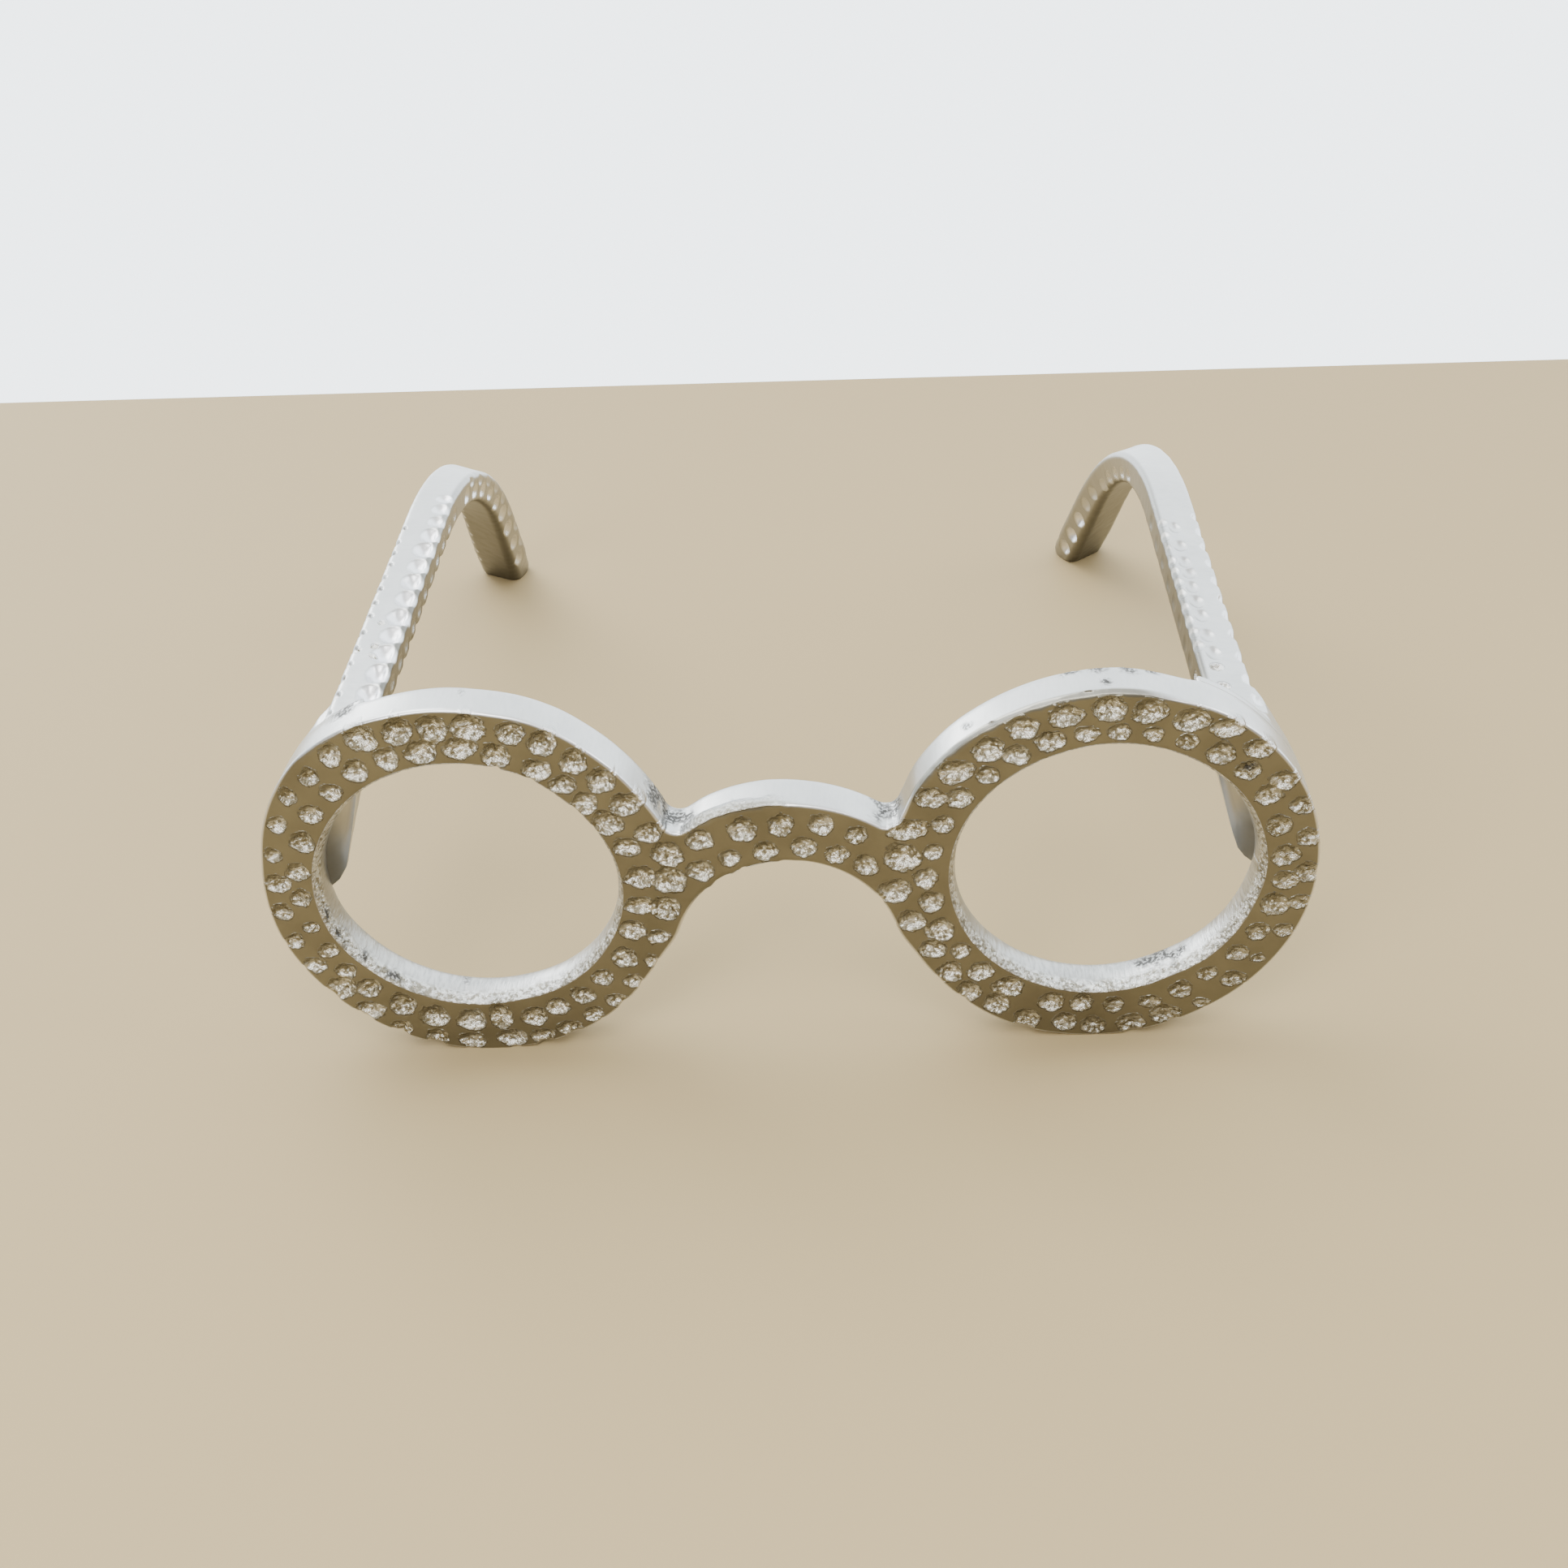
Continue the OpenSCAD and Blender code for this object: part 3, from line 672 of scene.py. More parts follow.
def under_foot(g, p):
    """How much of the edges behind flat points on them a temple's foot covers"""
    turn = np.degrees(np.arctan2(p[:, 1] - g.rim[1], np.abs(p[:, 0]) - g.rim[0]))
    return ease(*FOOT_BEGINS, turn) * ease(*FOOT_ENDS, turn)


def wall_profile(g, front_edge, swell, filed, covered):
    """A wall from front to back as (how far into the metal, depth) steps"""
    smooth, chewed = filed
    steps, stand = [], BEVEL_STAND * smooth
    for q in (0, 1 / 3, 2 / 3, 1):
        turn = q * math.pi / 2
        rounded = front_edge * (1 - math.sin(turn)) * (1 - smooth)
        steps.append((rounded - stand * q + 0.4 * (chewed - smooth) * (1 - q),
                      front_edge * (1 - math.cos(turn)) * (1 - smooth) + BEVEL_DEPTH * chewed * q))
    for depth in WALL_ROWS:
        steps.append((-stand, depth + 0 * smooth))
    back = g.back_edge * (1 - UNDER_FOOT * covered)
    for turn in np.radians((0, 30, 60, 90)):
        steps.append((back * (1 - math.cos(turn)) - stand, g.depth - back * (1 - math.sin(turn))))
    middle = g.depth / 2
    return [(inset - swell * np.maximum(0, 1 - ((depth - middle) / middle) ** 2), depth)
            for inset, depth in steps]


def front_walls(g):
    """The outer wall and both openings' walls: edge, way out, profile, and 1 for an opening"""
    edge, out = outline(g, EDGE_STEP)
    filed, covered = bevel(g, edge)[:2], under_foot(g, edge)
    walls = [(edge, out, wall_profile(g, g.front_edge, 0, filed, covered), 0)]
    for side in (LEFT, RIGHT):
        edge, out = lens_edge(g, side, EDGE_STEP)
        plain, covered = np.zeros((2, len(edge))), 0.7 * under_foot(g, edge)
        walls.append((edge, out, wall_profile(g, LENS_FRONT, g.swell, plain, covered), 1))
    return walls


def face_points(g, surface, span):
    """Loose vertices of the face, close together in and near its pits"""
    loose, col, row = loose_points(*span, FACE_STEP, 41)
    inside = in_metal(g, loose, g.front_edge + FACE_MARGIN, LENS_FRONT + FACE_MARGIN)
    loose, col, row = loose[inside], col[inside], row[inside]
    near = hammered(hand_made(g, loose, 0), surface)[2]
    return loose[(near < 1.12) | ((col % THINNED == 0) & (row % THINNED == 0))]


def wall_rows(g, surface, wall):
    """One wall's rows of vertices behind its front edge, each with all that its vertices carry"""
    edge, out, profile, is_lens = wall
    sunk, painted_pit_light, _ = hammered(hand_made(g, edge - out * profile[0][0][:, None], 0), surface)
    filed, _, crumbs = np.array(bevel(g, edge)) * (1 - is_lens)
    beside = (np.sign(edge[:, 0]) * g.lens[0] - edge[:, 0]) / g.lens_r
    # Painted shade: the walls on the left of each opening, as seen from the front, are painted
    # darker
    shade = 0.45 * is_lens * ease(0.3, 0.95, beside)
    along = np.concatenate([[0], np.cumsum(np.linalg.norm(np.diff(edge, axis=0), axis=1))])
    rows = []
    for k, (inset, d) in enumerate(profile[1:], 1):
        fade = np.maximum(0, 1 - d / PIT_ON_WALL) ** 1.5
        spot = np.column_stack([edge[:, 0], d, edge[:, 1]])
        coarse = np.maximum(0, 1 - (d / COARSE_STRIP) ** 4) * is_lens
        grainy = coarse * (0.65 + 0.35 * uneven(spot, 2.0, 51))
        bump = 0.10 * grainy * uneven(spot, 0.9, 52) + 0.05 * uneven(spot, 5.0, 53)
        here = inset + sunk * fade * 0.3 + bump + 0.08 * grainy
        crumbled = 0.8 * crumbs * ease(3.2, 2.2, d + 0.8 * uneven(spot, 1.5, 54))
        # The pits' painted brightness reaches a little way down the wall
        pit = np.maximum(painted_pit_light * fade * 0.6, 0.6 * crumbled)
        # Painted highlight on the front edges' first rows, the face's painted shade colour on filed
        # bevels, and painted shade on the left walls of the openings
        painted_shade_and_highlight = -0.8 * (k < 3) * (1 - filed) + 0.75 * filed * (k < 5) + shade * (k > 2)
        lay = np.column_stack([along, d, np.full(len(edge), float(is_lens))])
        # The bridge's crumbled strip takes part of the face's painted shade colour
        painted_shade_and_highlight = painted_shade_and_highlight + 0.9 * crumbled
        rows.append((edge - out * here[:, None], d + sunk * fade, pit, painted_shade_and_highlight, 0.5 * grainy, lay))
    return rows


def front_casting(sizes, surface):
    """Both rims and the bridge as one hammered casting"""
    g = front_shape(sizes)
    walls = front_walls(g)
    holes = [(side * g.lens[0], g.lens[1]) for side in (LEFT, RIGHT)]
    span = ((-g.rim[0] - g.rim_r, 0), (g.rim[0] + g.rim_r, g.rim[1] + g.rim_r))
    loops = [edge - out * profile[0][0][:, None] for edge, out, profile, _ in walls]
    flat, faces = plate(loops, face_points(g, surface, span), holes)
    faces = faces.tolist()

    # Each part as flat places, depths behind the face, pits with their painted brightness, painted
    # shade and highlight, grain and the lie of the wear
    depth, pit, _ = hammered(hand_made(g, flat, 0), surface)
    none = np.zeros(len(flat))
    # The whole flat face carries the painted shade colour
    parts = [(flat, depth, pit, none + 1, none, np.column_stack([flat, none]))]
    count, first, rings = len(flat), 0, []
    for wall in walls:
        index = np.arange(len(wall[0]))
        ring = first + index
        first += len(index)
        for row in wall_rows(g, surface, wall):
            parts.append(row)
            new, turn = count + index, np.roll(index, -1)
            faces += np.column_stack([ring, new, new[turn], ring[turn]]).tolist()
            ring, count = new, count + len(index)
        rings.append(ring)

    # The ground back, between the last rows of the walls
    spread = loose_points(*span, BACK_STEP, 43)[0]
    room = g.back_edge + BACK_MARGIN
    spread = spread[in_metal(g, spread, room, room)]
    loops = [edge - out * profile[-1][0][:, None] for edge, out, profile, _ in walls]
    back = plate(loops, spread, holes)[1]
    number = np.concatenate([*rings, count + np.arange(len(spread))])
    faces += number[back][:, ::-1].tolist()
    none = np.zeros(len(spread))
    parts.append((spread, none + g.depth, none, none, none, np.column_stack([spread, none])))

    place, depth, pit, painted_shade_and_highlight, grain, lay = (np.concatenate(rows) for rows in zip(*parts))
    place = hand_made(g, place, depth)
    points = np.column_stack([place[:, 0], g.front + depth, np.maximum(place[:, 1], 0)])
    patch = porous(points)
    points[:, 2] += patch * 0.12 * uneven(points, 0.8, 61)
    points[:, 2] = np.maximum(points[:, 2], 0)
    return points, faces, np.column_stack([pit, painted_shade_and_highlight, np.maximum(grain, patch)]), lay


# The temples


def temple_shape(front, sizes, side):
    """Places and sizes of one temple as it is drawn on the right, in millimetres"""
    g = front_shape(front)
    joint, lean, twist = (
        (sizes.left_joint, sizes.left_lean, sizes.left_twist) if side == LEFT
        else (sizes.right_joint, sizes.right_lean, sizes.right_twist))
    w, h, tip = sizes.width / MM, sizes.height / MM, sizes.tip / MM
    bar = (g.rim[0] + g.rim_r * math.cos(joint) - w / 2,
           g.rim[1] + g.rim_r * math.sin(joint) - h / 2)
    bend, hook = sizes.bend / MM, sizes.hook
    tip_reach = math.sqrt(tip * tip - h * h / 4) * math.cos(hook) + h / 2 * math.sin(hook)
    fall = (bar[1] - tip + front.ground / MM) / math.cos(lean)
    hook_len = (fall - bend * (1 - math.cos(hook))) / math.sin(hook)
    run = sizes.reach / MM - g.depth - tip_reach - bend * math.sin(hook) - hook_len * math.cos(hook)
    hollows = tuple(k / MM for k in (sizes.outer, sizes.over, sizes.inner, sizes.under))
    return SimpleNamespace(
        front=g, side=side, lean=lean, twist=twist, w=w, h=h, edge=sizes.edge / MM, bar=bar,
        seam=g.front + g.depth, run=run, bend=bend, hook=hook, length=run + bend * hook + hook_len,
        tip=tip, fuller=sizes.fuller, pad=sizes.pad / MM, hollows=hollows,
        foot=sizes.pad / MM + max(hollows), chord=sizes.chord / MM, chord_angle=sizes.chord_angle,
        low_angle=sizes.low_angle, corner=sizes.corner / MM)


def bar_reach(t, c, s, rounder=0.0):
    """Distance from the bar's middle to its surface in the directions (c, s)"""
    hw, hh, r = t.w / 2, t.h / 2, t.edge + rounder
    ac, bs = np.maximum(np.abs(c), 1e-9), np.maximum(np.abs(s), 1e-9)
    straight = np.minimum(hw / ac, hh / bs)
    corner = np.abs(c) * (hw - r) + np.abs(s) * (hh - r)
    inner = corner ** 2 - (hw - r) ** 2 - (hh - r) ** 2 + r * r
    rounded = corner + np.sqrt(np.maximum(inner, 0))
    at_corner = (straight * ac > hw - r) & (straight * bs > hh - r)
    return np.where(at_corner, rounded, straight)


def foot_reach(t, c, s, depth):
    """Distance from the bar's middle to the foot's side in the directions (c, s) of the bar"""
    g = t.front
    c, s = c * math.cos(t.lean) - s * math.sin(t.lean), c * math.sin(t.lean) + s * math.cos(t.lean)
    q = np.array(t.bar) - g.rim
    along = q[0] * c + q[1] * s
    sides = [-along + np.sqrt(along ** 2 - q @ q + g.rim_r ** 2)]
    for angle, limit in (
            (t.chord_angle, t.chord), (math.pi / 2 - t.low_angle, 0), (math.pi / 4, t.corner)):
        way = (math.cos(angle), math.sin(angle))
        lead = c * way[0] + s * way[1]
        away = (limit - q @ way) / np.minimum(lead, -NOTHING)
        sides.append(np.where(lead < -NOTHING, away, FAR_OFF))
    half_w, half_h = t.w / 2 - t.edge, t.h / 2 - t.edge
    if depth > t.pad:
        for r, half, lead in zip(t.hollows, (half_w, half_h, half_w, half_h), (c, s, -c, -s)):
            left = max(0.0, t.pad + r - depth)
            spread = half + r - math.sqrt(max(r * r - left * left, 0))
            sides.append(np.where(lead > NOTHING, spread / np.maximum(lead, NOTHING), FAR_OFF))
    return np.sum(np.maximum(np.array(sides), 1e-3) ** -14, axis=0) ** (-1 / 14)


def along_temple(t, s):
    """Place in the temple's plane and slope at a distance along its middle line"""
    turn = min(max((s - t.run) / t.bend, 0), t.hook)
    rest = max(0, s - t.run - t.bend * t.hook)
    y = min(s, t.run) + t.bend * math.sin(turn) + rest * math.cos(t.hook)
    fall = t.bend * (1 - math.cos(turn)) + rest * math.sin(t.hook)
    return y, fall, turn


def merged(a, b):
    """The greater of two reaches, with a soft change from one to the other"""
    return (a ** 10 + b ** 10) ** 0.1


def section(t, c, s, station):
    """Distance from the middle line to the metal's surface in the directions (c, s) at a station"""
    bar = bar_reach(t, c, s)
    reach = bar
    if station >= t.run:
        reach = bar_reach(t, c, s, HOOK_ROUNDER * ease(t.run, t.length, station))
    if station < t.foot:
        foot = foot_reach(t, c, s, station)
        reach = merged(bar, foot) if station > t.pad else np.maximum(bar, foot)
    narrow = ease(t.length - TIP_BLEND, t.length, station)
    if narrow > 0:
        past = max(station - t.length, 0)
        ball = max(t.tip ** TIP_POWER - past ** TIP_POWER, 1e-4) ** (1 / TIP_POWER)
        reach = reach + narrow * ((reach ** -6 + ball ** -6) ** (-1 / 6) - reach)
    return reach


def temple_point(t, s, a, b):
    """Where a point of the section at s lies: a outward and b up from the bar's middle"""
    y, fall, turn = along_temple(t, s + HOOK_STRETCH * ease(t.run, t.length, s))
    wide = 1 + t.fuller * ease(t.run, t.length, s)
    twist = t.twist * ease(t.run, t.run + t.bend * t.hook, s)
    a, b = wide * a, (1 + HOOK_TALLER * (wide - 1)) * b
    a, b = a * math.cos(twist) - b * math.sin(twist), a * math.sin(twist) + b * math.cos(twist)
    up = b * math.cos(turn) - fall
    x = a * math.cos(t.lean) - up * math.sin(t.lean)
    z = a * math.sin(t.lean) + up * math.cos(t.lean)
    return np.column_stack(np.broadcast_arrays(
        t.bar[0] + x, t.seam + y + b * math.sin(turn), np.maximum(t.bar[1] + z, 0)))


def temple_pits(t):
    """Pits of one temple: place and direction on it, length, width, depth, crinkle, painted
    highlight
    """
    pits = []
    for n, (turn, places, length, width, depth, crinkle, painted_highlight) in enumerate(TEMPLE_ROWS[t.side]):
        luck = chance(4 * len(places), 300 + n + 40 * t.side).reshape(-1, 4) - 0.5
        for at, (a, b, c, d) in zip(places, luck):
            pits.append((min(at + 0.5 * a, t.length - 1), turn + 6 * b, length * (1 + 0.16 * c),
                         width * (1 + 0.2 * d), depth * (1 + 0.3 * a), crinkle, painted_highlight))
    return pits


def outward(grid, centres):
    """Directions out of the metal at the points of a grid, in rows round their centres"""
    around = np.roll(grid, -1, axis=1) - np.roll(grid, 1, axis=1)
    out = np.cross(np.gradient(grid, axis=0), around)
    out /= np.maximum(np.linalg.norm(out, axis=2), 1e-9)[..., None]
    return -out if np.sum(out * (grid - centres[:, None])) < 0 else out


def dimpled(t, points, s_at):
    """Depth of a temple's pits at its points, how crinkled a pit each point is in, and its painted
    highlight
    """
    ragged = 0.06 * uneven(points, 1.6, 71) + 0.03 * uneven(points, 0.8, 72)
    depth, pit, painted_highlight = (np.zeros(len(points)) for _ in range(3))
    for at, angle, length, width, most, crinkle, highlight_share in temple_pits(t):
        angle = math.radians(angle)
        c, s = np.array([math.cos(angle)]), np.array([math.sin(angle)])
        r = bar_reach(t, c, s)
        if at < t.foot:
            r = merged(r, foot_reach(t, c, s, at))
        middle = temple_point(t, at, r * c, r * s)[0]
        here = np.flatnonzero(np.abs(s_at - at) < length)
        gap, along = points[here] - middle, s_at[here] - at
        across = np.sqrt(np.maximum(np.sum(gap * gap, axis=1) - along ** 2, 0))
        reach = np.hypot(along / (length / 2), across / (width / 2)) + ragged[here]
        inside = ease(1.02, 0.8, reach)
        depth[here] = np.maximum(depth[here], bowl(reach, most))
        pit[here] = np.maximum(pit[here], inside * crinkle)
        # Bowls painted bright as a highlight
        painted_highlight[here] = np.maximum(painted_highlight[here], inside * highlight_share)
    return depth, pit, painted_highlight


def temple_painted_light(out, s_at, painted_highlight):
    """Painted light on a temple: 1 is the face's painted shade, 0 is plain plating, -1 a painted
    highlight
    """
    # Painted shade: sides that face down and inward get the face's darker colour
    below = ease(0.05, -0.75, out[:, 2])
    inner_side = (0.9 - 0.45 * ease(50, 120, s_at)) * ease(-0.05, -0.5, out[:, 0])
    painted_shade_and_highlight = np.maximum(below, inner_side) * (0.45 * ease(1, 5, s_at) + 0.55 * ease(6, 18, s_at))
    return painted_shade_and_highlight * (1 - painted_highlight) - painted_highlight


def tube_faces(n_rows, columns):
    """Faces between rows of vertices, and a fan at each end round the vertex that closes it"""
    index = np.arange(n_rows * columns).reshape(n_rows, columns)
    a, b = index[:-1], index[1:]
    faces = np.stack([a, np.roll(a, -1, 1), np.roll(b, -1, 1), b], axis=-1).reshape(-1, 4).tolist()
    seat, ring, last = n_rows * columns, index[0].tolist(), index[-1].tolist()
    turn = [*range(1, columns), 0]
    faces += [[seat, ring[turn[k]], ring[k]] for k in range(columns)]
    faces += [[seat + 1, last[k], last[turn[k]]] for k in range(columns)]
    return faces


def temple_casting(front, sizes, surface, side):
    """One temple: its foot on the rim, the straight bar, the bend and the hook"""
    t = temple_shape(front, sizes, side)
    turn = 2 * math.pi * np.arange(COLUMNS) / COLUMNS
    c, s = np.cos(turn), np.sin(turn)
    place = np.concatenate([
        np.arange(0, FOOT_ROWS, FOOT_STEP), np.arange(FOOT_ROWS, t.run, BAR_STEP),
        np.linspace(t.run, t.length, int((t.length - t.run) / HOOK_STEP)),
        t.length + t.tip * np.sin(np.radians(np.linspace(4, 87, 14)))])
    sections = [section(t, c, s, station) for station in place]
    grid = np.array([temple_point(t, station, r * c, r * s) for station, r in zip(place, sections)])
    centres = np.array([temple_point(t, station, 0.0, 0.0)[0] for station in place])
    out = outward(grid, centres).reshape(-1, 3)
    points, s_at = grid.reshape(-1, 3), np.repeat(place, COLUMNS)

    depth, pit, painted_highlight = dimpled(t, points, s_at)
    crinkle, grain = surface.crinkle / MM, surface.grain / MM
    rough = crinkle * foil(points, grain, 73) + 0.6 * crinkle * uneven(points, grain * 0.6, 74)
    wave = 0.06 * uneven(points, 8.0, 75) + 0.05 * uneven(points, 2.6, 76)
    sunk = ease(0, 1.0, s_at) * (np.maximum(depth + pit * rough, 0) + np.abs(wave))
    points = points - out * sunk[:, None]

    # The foot's end follows the rim's hand-ground edge
    flat = points[:, [0, 2]] * (side, 1)
    moved = hand_made(t.front, flat, t.front.depth) - flat
    points[:, [0, 2]] += ease(9, 0, s_at)[:, None] * moved * (side, 1)
    points[:, 2] = np.maximum(points[:, 2], 0)

    shares = np.column_stack([
        pit, temple_painted_light(out, s_at, painted_highlight), porous(points * (side, 1, 1)) * ease(14, 2, s_at)])
    lay = np.column_stack([s_at, np.tile(turn * 5, len(place)), np.zeros(len(points))])
    ends = [temple_point(t, station, 0.0, 0.0) for station in (0, t.length + t.tip)]
    points = np.vstack([points, *ends])
    shares = np.vstack([shares, [0, 0, 0], [0, 0.6, 0]])
    lay = np.vstack([lay, [0, 0, 0], [t.length, 0, 0]])
    faces = tube_faces(len(place), COLUMNS)
    if side == RIGHT:
        faces = [f[::-1] for f in faces]
    return points * (side, 1, 1), faces, shares, lay


# Studs and dowels


def turned_pin(node, radius_at, step):
    """A turned pin in the place of a CAD node, whose radius is a share of the node's own"""
    low, high = (np.array(k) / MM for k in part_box(node))
    middle, r = (low + high) / 2, (high[0] - low[0]) / 2
    rows = np.arange(low[1], high[1] + step / 2, step)
    rows[-1] = high[1]
    turn = 2 * math.pi * np.arange(PIN_COLUMNS) / PIN_COLUMNS
    y, a = np.meshgrid(rows, turn, indexing="ij")
    reach = r * radius_at(y - low[1], high[1] - y, a)
    points = np.stack([middle[0] + reach * np.cos(a), y, middle[2] + reach * np.sin(a)], axis=-1)
    index = np.arange(len(rows) * PIN_COLUMNS).reshape(len(rows), PIN_COLUMNS)
    u, v = index[:-1], index[1:]
    faces = np.stack([u, v, np.roll(v, -1, 1), np.roll(u, -1, 1)], axis=-1).reshape(-1, 4).tolist()
    faces += [index[0].tolist(), index[-1][::-1].tolist()]
    points = points.reshape(-1, 3)
    return points, faces, np.zeros((len(points), 3)), points


def thread(from_low, from_high, a):
    """A stud's thread, with its ends chamfered"""
    phase = (from_low / THREAD_PITCH - a / (2 * math.pi)) % 1
    ridge = 1 - 0.16 * np.clip(np.abs(2 * phase - 1) * 1.25 - 0.12, 0, 1)
    return np.minimum(ridge, 0.72 + 0.4 * np.minimum(from_low, from_high))


def chamfered(from_low, from_high, a):
    """A dowel's plain side, with its ends chamfered"""
    return np.minimum(1.0, 0.8 + 0.5 * np.minimum(from_low, from_high)) + 0 * a


# Meshes and materials


def mesh_piece(name, points, faces, shares, lay):
    """A mesh object from points in millimetres, with the shares that its material reads"""
    mesh = bpy.data.meshes.new(name)
    mesh.from_pydata((points * MM).tolist(), [], faces)
    mesh.validate()
    mesh.update()
    mesh.shade_smooth()
    for label, values in (("shares", shares), ("lay", lay)):
        layer = mesh.attributes.new(label, "FLOAT_VECTOR", "POINT")
        layer.data.foreach_set("vector", np.ascontiguousarray(values, dtype=np.float32).ravel())
    piece = bpy.data.objects.new(name, mesh)
    bpy.context.scene.collection.objects.link(piece)
    return piece


class Wire:
    """One socket of a node tree, so that sums on surface values read as plain expressions"""

    def __init__(self, nodes, socket):
        self.nodes, self.socket = nodes, socket

    def _sum(self, operation, a, b):
        return self.nodes.node("ShaderNodeMath", {"operation": operation}, {0: a, 1: b})

    def __add__(self, other):
        return self._sum("ADD", self, other)

    def __radd__(self, other):
        return self._sum("ADD", other, self)

    def __sub__(self, other):
        return self._sum("SUBTRACT", self, other)

    def __rsub__(self, other):
        return self._sum("SUBTRACT", other, self)

    def __mul__(self, other):
        return self._sum("MULTIPLY", self, other)

    def __rmul__(self, other):
        return self._sum("MULTIPLY", other, self)


class Nodes:
    """The node tree of a material or of the room's light"""

    def __init__(self, tree, end):
        self.tree = tree
        self.end = next(n for n in tree.nodes if n.type == end)

    def node(self, kind, settings=None, sockets=None, out=0):
        """Adds a node: its settings first, then the values or links of its sockets"""
        node = self.tree.nodes.new(kind)
        for key, value in (settings or {}).items():
            if key == "stops":
                stops = node.color_ramp.elements
                while len(stops) < len(value):
                    stops.new(1.0)
                for stop, (position, shade) in zip(stops, value):
                    stop.position, stop.color = position, (shade, shade, shade, 1)
            else:
                setattr(node, key, value)
        for key, value in (sockets or {}).items():
            if isinstance(value, Wire):
                self.tree.links.new(value.socket, node.inputs[key])
            else:
                node.inputs[key].default_value = value
        return Wire(self, node.outputs[out])

    def feed(self, socket, wire):
        self.tree.links.new(wire.socket, self.end.inputs[socket])

    def noise(self, place, size, detail=2.0, roughness=0.5):
        """Noise from 0 to 1 whose grains are about the given size in the units of place"""
        return self.node("ShaderNodeTexNoise", {}, {
            "Vector": place, "Scale": 1 / size, "Detail": detail, "Roughness": roughness})

    def facets(self, place, size):
        """Small cones side by side, like crumpled foil, from 0 at their tips"""
        return self.node(
            "ShaderNodeTexVoronoi", {"feature": "F1"}, {"Vector": place, "Scale": 1 / size})

    def ramp(self, wire, *stops):
        return self.node("ShaderNodeValToRGB", {"stops": stops}, {0: wire})

    def mix(self, share, a, b):
        """Mix of two colours"""
        return self.node("ShaderNodeMix", {"data_type": "RGBA"}, {0: share, 6: a, 7: b}, out=2)

    def stretch(self, place, scale):
        return self.node("ShaderNodeVectorMath", {"operation": "MULTIPLY"}, {0: place, 1: scale})

    def attribute(self, name):
        return self.node("ShaderNodeAttribute", {"attribute_name": name}, out=1)

    def parts(self, vector):
        """The three numbers of a vector"""
        split = self.node("ShaderNodeSeparateXYZ", {}, {0: vector}).socket.node
        return [Wire(self, k) for k in split.outputs]

    def place(self):
        """Place on the object in metres"""
        return self.node("ShaderNodeTexCoord", out=3)

    def bump(self, strength, distance, height):
        return self.node(
            "ShaderNodeBump", {}, {"Strength": strength, "Distance": distance, "Height": height})


class Finish(Nodes):
    """A node material on one Principled shader"""

    def __init__(self, name, **constants):
        self.material = bpy.data.materials.new(name)
        self.material.use_nodes = True
        super().__init__(self.material.node_tree, "BSDF_PRINCIPLED")
        for socket, value in constants.items():
            self.end.inputs[socket.replace("_", " ")].default_value = value


def opaque(colour, share=1.0):
    """A colour, or a share of its brightness, for a shader's socket"""
    return (*(k * share for k in colour), 1.0)


